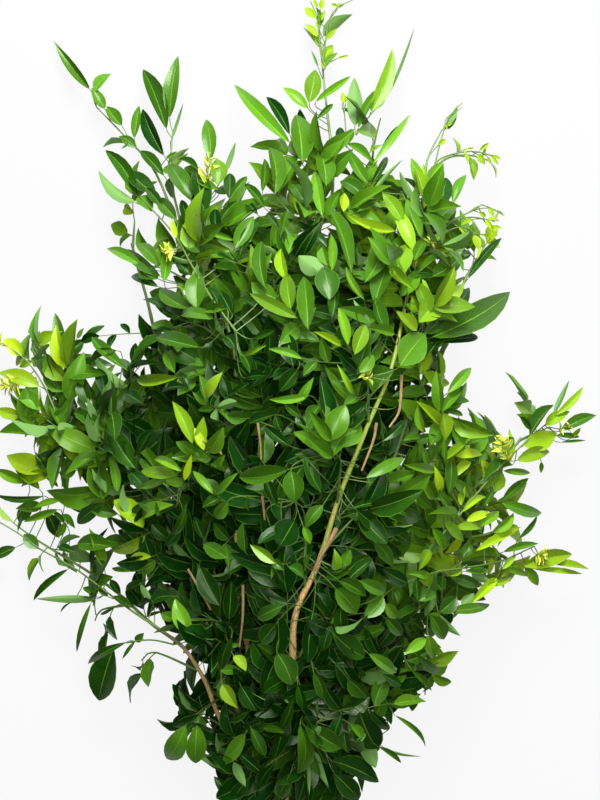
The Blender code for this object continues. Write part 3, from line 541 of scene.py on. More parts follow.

# Single leaflets on top of the bunch: tip x, y, foot x, y, width and age (1 is young, and below 0 shows the
# underside). Each age follows how light or dark the leaflet looks, so it is partly painted light and shade.
SINGLE_LEAFLETS = {
    "top_left": [
        (-217, 315, -184, 272, 13, 0.4), (-166, 286, -180, 270, 11, 0.42),
        (-182, 274, -171, 255, 11, 0.42), (-169, 258, -156, 240, 12, 0.4),
        (-141, 258, -145, 229, 10, 0.35), (-137, 292, -117, 237, 22, 0.24),
        (-107, 302, -114, 247, 16, 0.3), (-140, 257, -119, 214, 17, 0.14),
        (-101, 258, -113, 227, 4, -0.2), (-108, 218, -117, 211, 5, 0.3), (-159, 231, -144, 221, 8, 0.3),
        (-140, 220, -119, 196, 12, 0.15), (-171, 220, -143, 179, 15, 0.25),
        (-150, 204, -126, 180, 18, 0.15), (-176, 198, -144, 173, 10, -0.3),
        (-130, 166, -142, 177, 12, 0.3), (-107, 213, -89, 201, 9, 0.2), (-114, 208, -94, 174, 16, 0.2),
        (-91, 204, -83, 161, 22, 0.1), (-83, 247, -78, 210, 12, 0.3), (-73, 212, -72, 188, 14, 0.5),
        (-56, 224, -66, 199, 6, -0.3), (-46, 196, -61, 177, 9, 0.25), (-92, 194, -72, 184, 8, 0.4),
        (-125, 178, -108, 158, 12, 0.3), (-135, 186, -120, 168, 12, 0.25),
        (-104, 176, -96, 150, 12, 0.12), (-86, 186, -88, 156, 14, 0.08)],
    "left_upper": [
        (-170, 133, -138, 117, 11, 0.3), (-155, 133, -122, 108, 12, 0.22),
        (-146, 140, -124, 118, 11, 0.4), (-140, 116, -124, 106, 14, 0.2),
        (-115, 136, -119, 104, 12, 0.42), (-113, 160, -108, 142, 6, 0.75), (-104, 154, -93, 142, 6, 0.75),
        (-103, 143, -85, 128, 12, 0.3), (-113, 126, -92, 122, 6, -0.3), (-108, 122, -98, 111, 10, 0.08),
        (-150, 109, -124, 99, 8, 0.12), (-126, 101, -94, 79, 16, 0.3), (-139, 90, -108, 72, 8, 0.1),
        (-121, 83, -100, 70, 12, 0.18), (-108, 78, -76, 71, 11, 0.32), (-90, 116, -90, 80, 18, 0.3),
        (-109, 102, -99, 95, 6, 0.55), (-127, 56, -88, 46, 16, 0.25), (-128, 62, -111, 61, 6, 0.1),
        (-101, 64, -86, 54, 6, 0.08), (-118, 44, -110, 24, 10, 0.35), (-90, 82, -65, 80, 12, 0.42),
        (-82, 132, -55, 120, 8, 0.15), (-84, 147, -58, 140, 5, 0.45), (-77, 117, -55, 113, 13, 0.25),
        (-40, 162, -57, 133, 12, 0.32), (-36, 157, -52, 128, 10, 0.1), (-112, 50, -137, 33, 6, 0.03),
        (-80, 100, -72, 84, 9, 0.1), (-70, 96, -60, 76, 12, 0.06)],
    "left_cluster": [
        (-217, 77, -209, 33, 14, 0.36), (-224, 46, -214, 12, 11, 0.34), (-235, 44, -214, 15, 14, -0.4),
        (-189, 42, -203, 0, 20, 0.34), (-200, 55, -208, 35, 8, 0.45), (-190, 63, -195, 54, 6, 0.45),
        (-193, 51, -175, 56, 10, 0.05), (-152, 30, -182, 55, 11, 0.22), (-186, 30, -160, 43, 12, 0.2),
        (-134, 57, -144, 31, 8, 0.22), (-144, 19, -107, 20, 14, 0.58), (-112, 0, -94, -38, 15, 0.58),
        (-92, -24, -84, -44, 8, 0.85), (-141, -60, -108, -66, 13, 0.5), (-130, -51, -104, -62, 9, 0.5),
        (-144, -77, -112, -66, 7, 0.5), (-95, -48, -101, -70, 7, 0.75), (-180, -47, -172, -86, 26, 0.44),
        (-168, -43, -160, -80, 10, 0.4), (-168, -22, -144, -60, 20, 0.14),
        (-131, -27, -145, -50, 6, 0.14), (-198, -10, -170, -27, 12, 0.22),
        (-258, -46, -224, -62, 20, 0.95), (-246, -76, -216, -64, 17, 0.85),
        (-268, -8, -244, -14, 10, 0.95), (-266, 26, -228, 12, 14, 0.7), (-264, -28, -225, -31, 20, 0.4),
        (-231, 20, -241, -20, 17, 0.36), (-186, -50, -207, -25, 14, 0.36),
        (-232, -47, -196, -50, 8, 0.08), (-212, -76, -232, -45, 9, 0.14), (-212, -64, -196, -62, 12, 0.4),
        (-178, 28, -172, 5, 12, 0.03), (-156, 27, -122, 32, 8, 0.1), (-122, 9, -100, 12, 10, 0.02),
        (-105, 26, -97, 10, 6, 0.03), (-155, 8, -138, -3, 12, 0.02), (-182, -8, -160, 5, 12, 0.03),
        (-187, -28, -172, -38, 12, 0.03), (-128, -25, -140, -46, 14, 0.06),
        (-252, 10, -226, -8, 14, 0.42), (-220, -2, -206, -28, 12, 0.3), (-250, -4, -228, -24, 14, 0.36),
        (-192, 20, -184, -4, 12, 0.2), (-216, -30, -190, -40, 12, 0.4), (-250, -58, -228, -78, 14, 0.5),
        (-268, -60, -240, -72, 14, 0.5), (-150, -60, -130, -84, 14, 0.1)],
    "left_low": [
        (-163, -86, -137, -112, 20, 0.66), (-170, -135, -135, -118, 14, 0.66),
        (-150, -138, -130, -137, 8, 0.66), (-112, -91, -138, -103, 15, 0.48),
        (-184, -111, -172, -146, 13, 0.52), (-196, -125, -165, -128, 18, 0.2),
        (-212, -127, -197, -133, 10, 0.14), (-213, -120, -205, -107, 8, 0.3),
        (-217, -96, -206, -108, 7, 0.26), (-243, -107, -212, -96, 9, 0.5), (-235, -95, -210, -88, 8, 0.5),
        (-196, -109, -172, -90, 13, 0.14), (-200, -88, -172, -82, 5, 0.48),
        (-268, -82, -224, -84, 7, 0.18), (-238, -91, -247, -115, 5, 0.14),
        (-242, -117, -229, -130, 11, 0.25), (-270, -138, -249, -129, 9, 0.14),
        (-236, -177, -203, -148, 10, 0.2), (-227, -177, -178, -174, 8, -0.2),
        (-190, -163, -179, -172, 10, 0.2), (-176, -165, -168, -172, 6, 0.16),
        (-166, -157, -157, -170, 11, 0.14), (-154, -166, -135, -158, 11, 0.22),
        (-140, -160, -131, -174, 9, -0.2), (-132, -178, -112, -172, 12, 0.05),
        (-163, -171, -146, -182, 9, 0.25), (-144, -181, -130, -172, 6, 0.05),
        (-122, -185, -134, -190, 4, 0.05), (-176, -189, -162, -181, 3, 0.2),
        (-197, -223, -183, -178, 5, 0.2), (-210, -186, -200, -177, 3, 0.2),
        (-188, -231, -152, -212, 8, 0.18), (-179, -265, -163, -216, 23, 0.16),
        (-156, -227, -144, -211, 4, 0.4), (-137, -204, -144, -211, 7, 0.3),
        (-136, -200, -125, -210, 10, 0.08), (-124, -208, -103, -195, 22, 0.26),
        (-122, -186, -108, -192, 12, 0.42), (-110, -174, -96, -205, 14, 0.5),
        (-114, -228, -95, -220, 6, 0.2), (-120, -247, -89, -233, 10, 0.48),
        (-71, -180, -88, -146, 17, 0.1), (-60, -159, -62, -192, 17, 0.12),
        (-86, -125, -64, -138, 12, 0.24), (-97, -148, -72, -132, 6, 0.34), (-150, -96, -128, -90, 8, 0.1),
        (-118, -128, -104, -112, 10, 0.08), (-160, -112, -140, -128, 12, 0.12),
        (-166, -146, -136, -148, 9, 0.3), (-150, -118, -136, -132, 10, 0.1),
        (-100, -92, -112, -118, 10, 0.14)],
    "top_centre": [
        (14, 292, 8, 260, 15, 0.52), (45, 286, 14, 261, 9, 0.52), (-15, 274, 7, 255, 9, 0.54),
        (-59, 283, -9, 225, 13, 0.48), (-30, 267, -9, 232, 16, 0.12), (-3, 252, 2, 208, 24, 0.34),
        (-1, 257, 13, 222, 12, 0.06), (30, 260, 15, 246, 8, 0.38), (46, 280, 48, 240, 13, -0.3),
        (69, 276, 51, 238, 10, 0.42), (81, 308, 62, 252, 12, 0.55), (101, 323, 74, 262, 4, -0.3),
        (99, 255, 64, 207, 7, 0.42), (92, 245, 66, 206, 6, 0.05), (34, 240, 40, 222, 10, 0.04),
        (45, 238, 40, 222, 12, 0.32), (64, 208, 42, 224, 11, 0.36), (-31, 212, -33, 182, 12, 0.3),
        (-26, 223, -22, 180, 18, 0.36), (-2, 220, -18, 183, 15, 0.32), (18, 222, 23, 188, 18, 0.36),
        (12, 203, 20, 160, 13, 0.46), (-8, 191, 7, 170, 12, 0.2), (-50, 191, -31, 168, 9, 0.16),
        (-49, 176, -37, 162, 8, 0.08), (-55, 175, -69, 158, 8, 0.2), (-62, 201, -62, 176, 12, 0.14),
        (-74, 168, -72, 144, 14, 0.08), (-11, 170, -17, 143, 8, 0.32), (-28, 163, -18, 150, 6, 0.1),
        (18, 165, 4, 138, 6, 0.38), (40, 183, 38, 165, 9, 0.7), (35, 193, 56, 176, 13, 0.22),
        (43, 219, 59, 190, 12, 0.36), (78, 216, 62, 188, 7, 0.08), (88, 208, 64, 180, 5, -0.3),
        (58, 182, 52, 168, 6, -0.2), (70, 176, 50, 165, 8, 0.32)],
    "top_right": [
        (178, 143, 147, 106, 9, 0.1), (141, 126, 116, 108, 17, 0.26), (126, 209, 111, 183, 13, 0.48),
        (129, 196, 120, 167, 15, 0.12), (146, 199, 134, 172, 10, 0.32), (136, 175, 112, 146, 19, 0.26),
        (149, 107, 112, 82, 12, 0.62), (150, 104, 124, 62, 14, 0.12), (188, 98, 116, 55, 24, 0.2),
        (157, 55, 116, 50, 12, 0.1), (97, 213, 108, 181, 11, 0.48), (108, 208, 110, 185, 6, 0.6),
        (87, 200, 104, 172, 11, -0.2), (95, 170, 106, 142, 11, 0.44), (84, 172, 100, 130, 13, 0.6),
        (72, 183, 90, 155, 13, 0.55), (41, 163, 83, 148, 12, 0.85), (83, 138, 97, 112, 4, -0.3),
        (85, 125, 93, 100, 7, 0.5), (118, 110, 98, 112, 9, 0.15), (125, 93, 104, 68, 22, 0.62),
        (86, 78, 102, 61, 13, 0.6), (118, 33, 85, 18, 8, 0.46), (130, 150, 108, 134, 8, 0.45),
        (112, 60, 88, 30, 22, 0.34), (128, 80, 108, 58, 14, 0.2), (134, 66, 112, 40, 14, 0.12),
        (124, 130, 104, 112, 10, 0.3), (110, 140, 100, 122, 10, 0.4)],
    "centre": [
        (25, 174, 45, 112, 18, 0.34), (75, 151, 57, 103, 24, 0.3), (83, 128, 66, 84, 20, 0.24),
        (27, 146, 28, 113, 10, 0.44), (40, 118, 56, 88, 8, 0.5), (-17, 134, -11, 104, 16, 0.62),
        (-12, 113, -8, 80, 18, 0.52), (2, 113, 7, 62, 19, 0.36), (-46, 95, -3, 72, 11, 0.55),
        (-34, 140, -30, 98, 15, 0.2), (-3, 148, -10, 128, 10, 0.32), (-1, 126, 18, 112, 16, -0.2),
        (18, 135, 24, 118, 10, 0.32), (12, 145, 23, 134, 8, 0.06), (20, 117, 26, 88, 20, 0.2),
        (29, 104, 28, 72, 14, 0.14), (33, 81, 66, 70, 14, 0.26), (34, 82, 42, 48, 12, 0.52),
        (12, 60, 36, 47, 10, 0.66), (58, 68, 48, 40, 15, 0.54), (60, 63, 82, 58, 12, 0.46),
        (65, 41, 52, 24, 9, 0.48), (33, 31, 46, 6, 6, 0.55), (27, 18, 48, 2, 8, 0.32),
        (72, 45, 76, 10, 15, 0.32), (82, 6, 62, -9, 12, 0.2), (82, -13, 60, -16, 8, 0.26),
        (8, -9, 27, -36, 15, 0.36), (40, -4, 27, -35, 17, 0.36), (7, -33, 29, -50, 15, 0.32),
        (50, -25, 29, -49, 14, 0.26), (75, -40, 48, -58, 12, 0.26), (92, -50, 58, -68, 11, 0.32),
        (101, -62, 72, -72, 14, 0.42), (93, -80, 46, -94, 15, 0.08), (112, -104, 66, -92, 19, 0.26),
        (-30, 47, -48, 39, 5, 0.52), (-28, 45, 2, 36, 6, 0.42), (-22, 61, -40, 54, 8, 0.2),
        (-44, 24, -52, 42, 13, 0.14), (-30, 22, -48, 19, 12, 0.04), (-57, 45, -66, 56, 11, 0.08),
        (-44, 15, -61, 5, 6, 0.08), (-70, 24, -82, 2, 9, 0.6), (-88, 22, -82, -2, 14, 0.3),
        (-54, -1, -72, -6, 10, -0.3), (-64, -14, -46, -16, 12, 0.24), (-46, -20, -22, -13, 12, 0.12),
        (-31, -22, -11, -39, 12, 0.06), (-18, 8, -2, 27, 18, 0.08), (-28, 1, 8, 4, 8, 0.42),
        (12, 20, -2, -3, 8, 0.36), (-56, -66, -11, -61, 20, 0.34), (-5, -90, -8, -62, 20, 0.26),
        (4, -49, 18, -80, 12, 0.14), (5, -67, -36, -47, 5, 0.38), (-94, -60, -76, -82, 8, 0.48),
        (-57, -64, -72, -82, 8, 0.4), (-67, -24, -80, -46, 15, 0.46), (-66, -48, -72, -58, 9, 0.44),
        (36, -61, 50, -59, 5, 0.6), (-84, -16, -90, -40, 10, 0.6), (-14, 60, -6, 30, 14, 0.08),
        (100, 8, 84, -6, 10, 0.15), (94, -16, 72, -36, 9, 0.1), (66, 90, 76, 60, 14, 0.2)],
    "heart": [
        (4, -112, 20, -92, 12, 0.26), (-19, -128, -5, -105, 21, 0.14), (9, -126, 3, -111, 9, 0.44),
        (-45, -126, -22, -143, 10, 0.56), (-14, -149, -24, -140, 8, 0.26), (30, -130, 31, -149, 9, 0.56),
        (44, -131, 40, -145, 9, 0.36), (28, -151, 11, -149, 10, 0.5), (4, -155, -10, -146, 12, 0.24),
        (-50, -107, -48, -133, 13, 0.2), (-75, -104, -63, -88, 12, 0.32),
        (-52, -150, -48, -168, 10, 0.42), (-39, -192, -15, -180, 10, 0.2),
        (-36, -214, -21, -196, 14, 0.16), (-27, -173, -10, -178, 8, 0.08), (52, -188, 31, -165, 19, 0.32),
        (78, -168, 52, -158, 13, 0.26), (60, -172, 34, -158, 12, 0.26), (82, -146, 65, -124, 12, 0.28),
        (45, -130, 35, -106, 12, 0.14), (68, -112, 50, -97, 14, 0.14), (64, -138, 42, -158, 12, 0.14),
        (38, -205, 36, -180, 16, 0.1), (57, -190, 73, -172, 14, 0.26), (86, -192, 74, -178, 10, 0.44),
        (95, -152, 113, -156, 8, 0.42), (0, -190, 20, -196, 8, 0.32), (10, -216, -18, -232, 13, 0.2),
        (59, -225, 28, -203, 23, 0.2), (48, -236, 40, -213, 10, 0.14), (-6, -250, -20, -222, 20, 0.2),
        (-47, -237, -58, -224, 9, 0.58), (-68, -238, -60, -208, 14, 0.14), (-33, -88, -50, -66, 14, 0.06),
        (-36, -120, -30, -98, 10, 0.04), (-92, -102, -84, -122, 10, 0.1), (-30, -66, -20, -92, 14, 0.1),
        (98, -126, 78, -114, 13, 0.1), (70, -226, 58, -200, 12, 0.1), (-14, -160, -26, -142, 10, 0.06),
        (74, -148, 94, -160, 11, 0.08), (90, -206, 74, -190, 12, 0.2), (20, -220, 28, -196, 12, 0.08),
        (86, -120, 70, -102, 12, 0.12), (20, -120, 34, -98, 10, 0.1)],
    "right": [
        (119, 26, 122, -10, 14, 0.44), (151, 29, 129, 6, 12, 0.48), (143, 14, 124, -11, 12, 0.44),
        (150, 1, 133, -3, 7, 0.28), (102, -1, 123, -20, 14, 0.7), (103, -4, 108, -28, 8, 0.48),
        (127, -36, 125, -11, 14, 0.6), (143, -14, 128, -10, 6, 0.3), (146, -35, 128, -52, 13, 0.56),
        (165, -34, 144, -40, 6, 0.26), (126, -35, 127, -53, 8, 0.34), (160, -48, 136, -49, 7, 0.72),
        (137, -66, 149, -54, 8, 0.72), (130, -82, 132, -52, 12, 0.22), (118, -58, 122, -81, 9, 0.72),
        (104, -62, 118, -86, 14, 0.5), (92, -56, 118, -62, 9, 0.46), (108, -45, 112, -57, 8, 0.34),
        (103, -81, 115, -94, 8, 0.28), (147, -65, 152, -76, 8, 0.22), (144, -74, 141, -92, 7, 0.68),
        (166, -83, 142, -98, 8, 0.64), (169, -79, 162, -92, 8, 0.3), (161, -70, 186, -57, 17, 0.24),
        (203, -64, 178, -62, 7, 0.54), (221, -45, 190, -53, 13, 0.64), (211, -64, 211, -54, 5, 0.34),
        (202, -66, 177, -88, 11, 0.26), (216, -98, 176, -90, 11, 0.28), (190, -96, 168, -91, 3, 0.2),
        (209, -100, 192, -121, 7, 0.28), (211, -124, 178, -133, 9, 0.36), (240, -135, 196, -145, 16, 0.7),
        (254, -147, 220, -143, 9, 0.7), (250, -152, 205, -148, 5, 0.64), (201, -155, 179, -147, 6, 0.5),
        (190, -135, 177, -148, 6, 0.64), (186, -155, 165, -161, 6, 0.7), (150, -178, 172, -156, 12, 0.72),
        (194, -110, 154, -132, 10, 0.7), (188, -98, 168, -116, 12, 0.48), (176, -95, 154, -111, 10, 0.5),
        (168, -98, 146, -106, 7, 0.72), (165, -110, 136, -112, 8, 0.58), (113, -99, 138, -101, 12, 0.48),
        (150, -125, 143, -138, 8, 0.24), (170, -148, 144, -150, 7, 0.48),
        (168, -144, 140, -144, 12, 0.22), (143, -148, 131, -154, 6, 0.64),
        (165, -158, 150, -151, 8, -0.2), (160, -163, 131, -154, 11, 0.18),
        (168, -177, 130, -185, 10, 0.26), (138, -172, 122, -186, 14, 0.18),
        (152, -170, 142, -180, 9, -0.2), (139, -206, 123, -189, 9, -0.2),
        (128, -211, 114, -188, 15, 0.28), (104, -148, 113, -131, 14, 0.54),
        (114, -164, 108, -149, 11, 0.58), (235, 17, 222, -12, 5, -0.4), (249, 13, 224, -13, 8, 0.64),
        (260, -12, 228, -27, 12, 0.3), (237, -9, 215, -22, 12, 0.6), (222, -4, 201, -32, 15, 0.22),
        (193, -15, 202, -26, 8, 0.18), (227, -28, 196, -40, 18, 0.64), (245, -32, 224, -31, 5, 0.24),
        (252, -35, 228, -37, 3, 0.34), (246, -24, 236, -34, 6, 0.7), (188, -32, 176, -44, 11, 0.24),
        (128, -132, 116, -112, 12, 0.44), (144, -124, 126, -106, 9, 0.54),
        (120, -166, 104, -176, 11, 0.24), (134, -96, 118, -78, 10, 0.34), (152, -86, 132, -70, 9, 0.3)],
    "bottom": [
        (-118, -316, -100, -285, 18, 0.32), (-91, -319, -90, -284, 17, 0.36),
        (-112, -286, -88, -275, 12, 0.08), (-97, -271, -75, -268, 12, 0.14),
        (-96, -257, -74, -252, 8, 0.32), (-85, -297, -76, -301, 6, 0.05), (-70, -322, -74, -304, 8, 0.1),
        (-70, -321, -48, -292, 15, 0.34), (-75, -330, -60, -348, 9, 0.05),
        (-48, -338, -58, -317, 10, -0.2), (-63, -282, -44, -272, 9, 0.14),
        (-30, -312, -43, -287, 12, 0.16), (-13, -291, -32, -287, 10, 0.34), (-3, -331, 0, -284, 18, 0.34),
        (38, -306, 4, -285, 21, 0.22), (71, -333, 28, -316, 20, 0.1), (52, -349, 30, -327, 16, 0.08),
        (24, -337, 13, -308, 9, -0.2), (18, -330, 10, -307, 7, 0.2), (9, -344, 8, -315, 4, -0.3),
        (68, -308, 52, -273, 24, 0.12), (79, -289, 60, -270, 9, 0.08), (56, -296, 44, -284, 12, 0.38),
        (111, -304, 83, -276, 5, 0.38), (105, -312, 72, -303, 4, -0.3), (90, -318, 68, -303, 6, 0.26),
        (113, -262, 82, -266, 12, 0.52), (117, -256, 98, -237, 8, 0.32), (125, -240, 102, -223, 8, 0.18),
        (118, -228, 112, -206, 12, 0.5), (92, -222, 110, -209, 11, 0.5), (88, -239, 60, -222, 10, 0.36),
        (3, -271, -2, -249, 14, 0.14), (-6, -261, -17, -288, 12, 0.12), (-33, -256, -12, -244, 16, 0.16),
        (-55, -270, -68, -249, 14, 0.6), (-92, -247, -78, -238, 8, 0.3), (-36, -338, -22, -318, 14, 0.06),
        (-20, -350, -8, -326, 14, 0.1), (8, -352, 4, -330, 12, 0.06), (-60, -352, -44, -330, 14, 0.06),
        (36, -272, 22, -250, 14, 0.1), (60, -262, 42, -244, 14, 0.2), (90, -250, 72, -240, 9, 0.1),
        (-52, -310, -34, -326, 12, 0.05), (28, -298, 36, -276, 10, 0.1), (-38, -272, -52, -250, 14, 0.06),
        (20, -262, 12, -238, 12, 0.2), (-104, -300, -92, -282, 9, 0.2), (-80, -262, -66, -276, 9, 0.1)],
}

# Small leaflets of new growth, placed in the same way.
NEW_LEAFLETS = {
    "new_top": [
        (4, 344, 14, 334, 9, 1.0), (4, 330, 15, 318, 6, 0.9), (32, 326, 23, 315, 8, 1.0),
        (27, 347, 33, 344, 4, 0.9), (36, 348, 33, 343, 3, 0.8), (22, 342, 19, 332, 5, 0.7),
        (11, 352, 15, 343, 5, 1.0), (20, 352, 18, 342, 5, 1.0), (43, 302, 33, 299, 3, 1.0),
        (33, 304, 22, 291, 5, 0.4), (10, 306, 16, 291, 3, 0.4), (20, 298, 20, 290, 4, 0.9),
        (38, 270, 37, 260, 5, 1.0), (43, 268, 40, 259, 5, 1.0), (14, 332, 17, 324, 3, 0.8)],
    "new_top_right": [
        (128, 229, 121, 223, 5, 0.85), (135, 244, 129, 240, 3, 0.85), (129, 236, 127, 242, 2, 0.8),
        (166, 225, 157, 218, 5, 1.0), (162, 206, 155, 215, 6, 0.95), (147, 207, 145, 215, 5, 0.9),
        (168, 206, 164, 213, 3, 0.9), (176, 211, 169, 214, 4, 0.95), (174, 206, 168, 213, 3, 0.9),
        (147, 221, 144, 215, 3, 0.85), (153, 221, 146, 220, 2, 0.6), (150, 212, 144, 213, 3, 0.7),
        (141, 154, 151, 158, 5, 0.95), (163, 160, 157, 164, 4, 0.95), (170, 160, 165, 168, 5, 1.0),
        (174, 165, 171, 157, 3, 0.95), (178, 162, 172, 166, 2, 0.5), (169, 147, 162, 158, 5, 1.0),
        (177, 150, 170, 151, 3, 0.95), (173, 143, 168, 149, 3, 0.9), (174, 157, 164, 158, 3, 0.9),
        (146, 145, 139, 151, 4, 0.95), (168, 141, 157, 145, 4, 0.95), (158, 131, 152, 144, 7, 0.9),
        (155, 124, 158, 134, 3, 0.8), (158, 171, 150, 166, 2, 0.5)],
}

# Bare twigs in front: radius, then the points x, y they pass.
TWIGS = {
    "twig_top_left": (0.8, [(22, 290), (18, 305), (16, 325), (14, 338), (9, 349)]),
    "twig_top_right": (0.8, [(20, 298), (23, 318), (25, 331), (32, 343), (46, 350)]),
    "twig_thin_leaf": (0.8, [(49, 232), (62, 250), (74, 262)]),
    "twig_buds": (0.7, [(41, 222), (39, 250), (38, 262)]),
    "twig_bare": (0.8, [(114, 192), (118, 206), (123, 226), (130, 247), (142, 260)]),
    "twig_bare_end": (0.5, [(131, 249), (136, 252), (142, 256)]),
    "twig_arch": (0.9, [(115, 190), (119, 207), (127, 213), (143, 217), (156, 217), (174, 212)]),
    "twig_arch_low": (0.5, [(140, 214), (150, 214), (157, 212)]),
    "twig_spray_high": (0.8, [(120, 150), (134, 158), (150, 165), (159, 171)]),
    "twig_spray": (0.8, [(122, 146), (134, 157), (150, 160), (163, 158), (174, 157)]),
    "twig_spray_end": (0.5, [(151, 166), (163, 168), (172, 165), (179, 161)]),
    "twig_spray_low": (0.8, [(118, 138), (130, 148), (139, 151), (149, 149), (157, 137)]),
    "twig_flowers": (0.9, [(-214, -10), (-224, 12), (-240, 35), (-264, 52)]),
    "twig_left_far": (1.0, [
        (-122, -201), (-145, -186), (-172, -166), (-196, -148), (-228, -130), (-246, -117), (-268, -104)]),
    "twig_left_low": (0.8, [(-110, -214), (-130, -210), (-150, -212), (-163, -215)]),
    "twig_high_left": (1.0, [(-56, 60), (-62, 68), (-78, 90), (-96, 120), (-110, 145), (-140, 178)]),
    "twig_right_far": (1.0, [(118, -125), (140, -100), (170, -64), (196, -38), (214, -22)]),
    "twig_right_low": (0.9, [(120, -150), (150, -146), (178, -140), (205, -128)]),
}

# Short bare brown twigs between the leaves, and the second branch of the stem in front, in the same
# way. No leaflet lies within BROWN_SIDE over one, and they lie BROWN_DEPTH below the upper leaves.
BROWN_TWIGS = {
    "brown_heart": (1.2, [(-37, -20), (-35, -36), (-34, -52)]),
    "brown_heart_low": (1.2, [(-33, -84), (-32, -94), (-31, -105)]),
    "brown_right": (1.4, [(89, 22), (88, 0), (86, -12), (78, -24)]),
    "brown_right_low": (1.3, [(67, -20), (64, -36), (54, -62)]),
    "brown_left_low": (1.2, [(-98, -148), (-90, -162), (-78, -184)]),
    "brown_left_foot": (1.3, [(-50, -162), (-50, -188), (-53, -216)]),
    "brown_fork": (2.0, [(32, -112), (26, -124), (17, -139), (12, -150)]),
}
BROWN_SIDE = 2.4
BROWN_DEPTH = 16

# How much of the way from a bark's foot colour to its tip colour each kind of twig shows.
TWIG_SHARES = (0.4, 0.9)
STALK_SHARES = (0.7, 1.0)
BROWN_SHARES = (0, 0.3)

# Whole leaves, listed one by one: tip x, y, z, the way they point in degrees from +X, length, leaflets, age.
# All rise by PLACED_RISE over a length of one.
# The ages of these leaves are partly painted light and shade: dark in the shaded heart, lighter on the lit
# right side.
PLACED_LEAVES = {
    "left_edge": [
        (-256, -18, 100, 165, 80, 5, 0.5), (-250, -60, 100, 190, 80, 5, 0.45),
        (-214, -10, 120, 155, 80, 5, 0.2), (-196, -44, 124, 170, 80, 5, 0.2),
        (-190, -84, 124, 200, 80, 5, 0.15), (-226, 30, 104, 115, 70, 5, 0.3),
        (-168, 24, 112, 115, 70, 5, 0.02), (-150, -10, 120, 100, 80, 7, 0.0),
        (-204, -100, 110, 210, 64, 5, 0.15)],
    "right_middle": [
        (120, -40, 158, 60, 80, 7, 0.5), (156, -66, 146, 20, 78, 7, 0.55),
        (150, -106, 142, 0, 78, 7, 0.5), (186, -112, 130, 10, 74, 7, 0.6),
        (146, -150, 136, -20, 76, 7, 0.45), (116, -130, 158, -10, 76, 7, 0.4),
        (190, -28, 130, 60, 72, 7, 0.7), (140, -14, 148, 80, 76, 7, 0.6), (206, -80, 120, 20, 76, 7, 0.7),
        (172, -140, 118, -10, 76, 7, 0.6), (206, -140, 104, 0, 72, 7, 0.75),
        (124, -182, 134, -40, 76, 7, 0.4)],
    "heart": [
        (-60, -30, 172, 110, 84, 7, 0), (-84, -70, 166, 140, 84, 7, 0), (-30, -90, 176, 100, 84, 7, 0),
        (-70, -120, 158, 160, 84, 7, 0), (-40, -160, 158, 120, 84, 7, 0), (-10, -120, 172, 80, 84, 7, 0),
        (40, -110, 176, 60, 84, 7, 0), (76, -50, 176, 40, 84, 7, 0), (90, -130, 164, -10, 84, 7, 0),
        (-16, -180, 160, 60, 84, 7, 0), (60, -170, 160, -20, 84, 7, 0), (-56, -200, 146, 200, 84, 7, 0),
        (-90, -190, 132, 200, 80, 7, 0), (10, -220, 158, 270, 80, 7, 0), (-30, -250, 146, 250, 80, 7, 0),
        (54, -250, 146, 300, 80, 7, 0), (-80, 30, 160, 140, 84, 7, 0), (-104, -10, 152, 160, 84, 7, 0),
        (-40, 50, 170, 110, 84, 7, 0.2), (20, 20, 184, 90, 84, 7, 0.25), (60, 60, 180, 60, 84, 7, 0.35),
        (0, -14, 92, 50, 84, 7, 0), (-19, 4, 80, 90, 84, 7, 0), (0, -84, 92, 90, 84, 7, 0),
        (104, -38, 92, 20, 84, 7, 0.2), (166, -170, 70, 6, 84, 7, 0.3)],
    "foot": [
        (-60, -306, 104, 240, 84, 7, 0.12), (-90, -280, 100, 220, 84, 7, 0.15),
        (-20, -306, 124, 260, 84, 7, 0.1), (20, -312, 122, 280, 84, 7, 0.1),
        (56, -306, 104, 300, 84, 7, 0.15), (82, -280, 98, 310, 84, 7, 0.2),
        (-40, -344, 84, 250, 84, 7, 0.12), (0, -348, 92, 265, 84, 7, 0.1),
        (36, -346, 88, 285, 84, 7, 0.12), (-70, -340, 60, 235, 84, 7, 0.15),
        (64, -340, 60, 300, 84, 7, 0.18), (-20, -352, 60, 260, 84, 7, 0.1)],
}
PLACED_RISE = 0.12

# Tufts of flower buds: x and y of the foot, the way they point in degrees from +X, buds, their length.
TUFTS = {
    "tuft_top_left": (-78, 206, 95, 16, 9), "tuft_left_upper": (-118, 126, 80, 12, 8),
    "tuft_left_end": (-258, 46, 150, 16, 9), "tuft_left_edge": (-252, 8, 150, 18, 11),
    "tuft_left_heart": (-84, -42, 100, 8, 7), "tuft_right": (176, -42, 80, 18, 9),
    "tuft_right_top": (232, -28, 60, 10, 8), "tuft_right_low": (206, -138, 20, 16, 9),
    "tuft_right_end": (182, -52, 120, 6, 6), "tuft_centre": (60, 14, 60, 6, 7),
    "tuft_high_right": (112, 136, 60, 5, 6),
}

# A tuft's lift over the leaves, its rise, its stalk's length as a share of its buds', where the buds start
# on it, the first bud's size and its loss to the last, and the buds' spread, width and ages.
TUFT_LIFT = 16
TUFT_RISE = 0.25
TUFT_STALK = 0.9
BUDS_FROM = 0.45
BUD_SIZE = (1.4, 0.6)
BUD_SPREAD = (0.8, 1.15)
BUD_WIDTH = 0.42
BUD_AGES = (0.9, 1.0)

# Where the leaves that grow straight from each stem start and end (shares of its length), and their spacing.
STEM_LEAVES = {
    "stem_left_low": (0.34, 0.8, 20), "stem_left": (0.28, 0.98, 15), "stem_left_high": (0.2, 0.97, 14),
    "stem_top": (0.16, 0.98, 14), "stem_front": (0.15, 0.97, 17), "stem_right_high": (0.2, 0.97, 14),
    "stem_right": (0.24, 0.97, 16), "stem_right_low": (0.3, 0.85, 17), "stem_back_right": (0.15, 0.9, 14),
    "stem_back_left": (0.18, 0.85, 14),
}

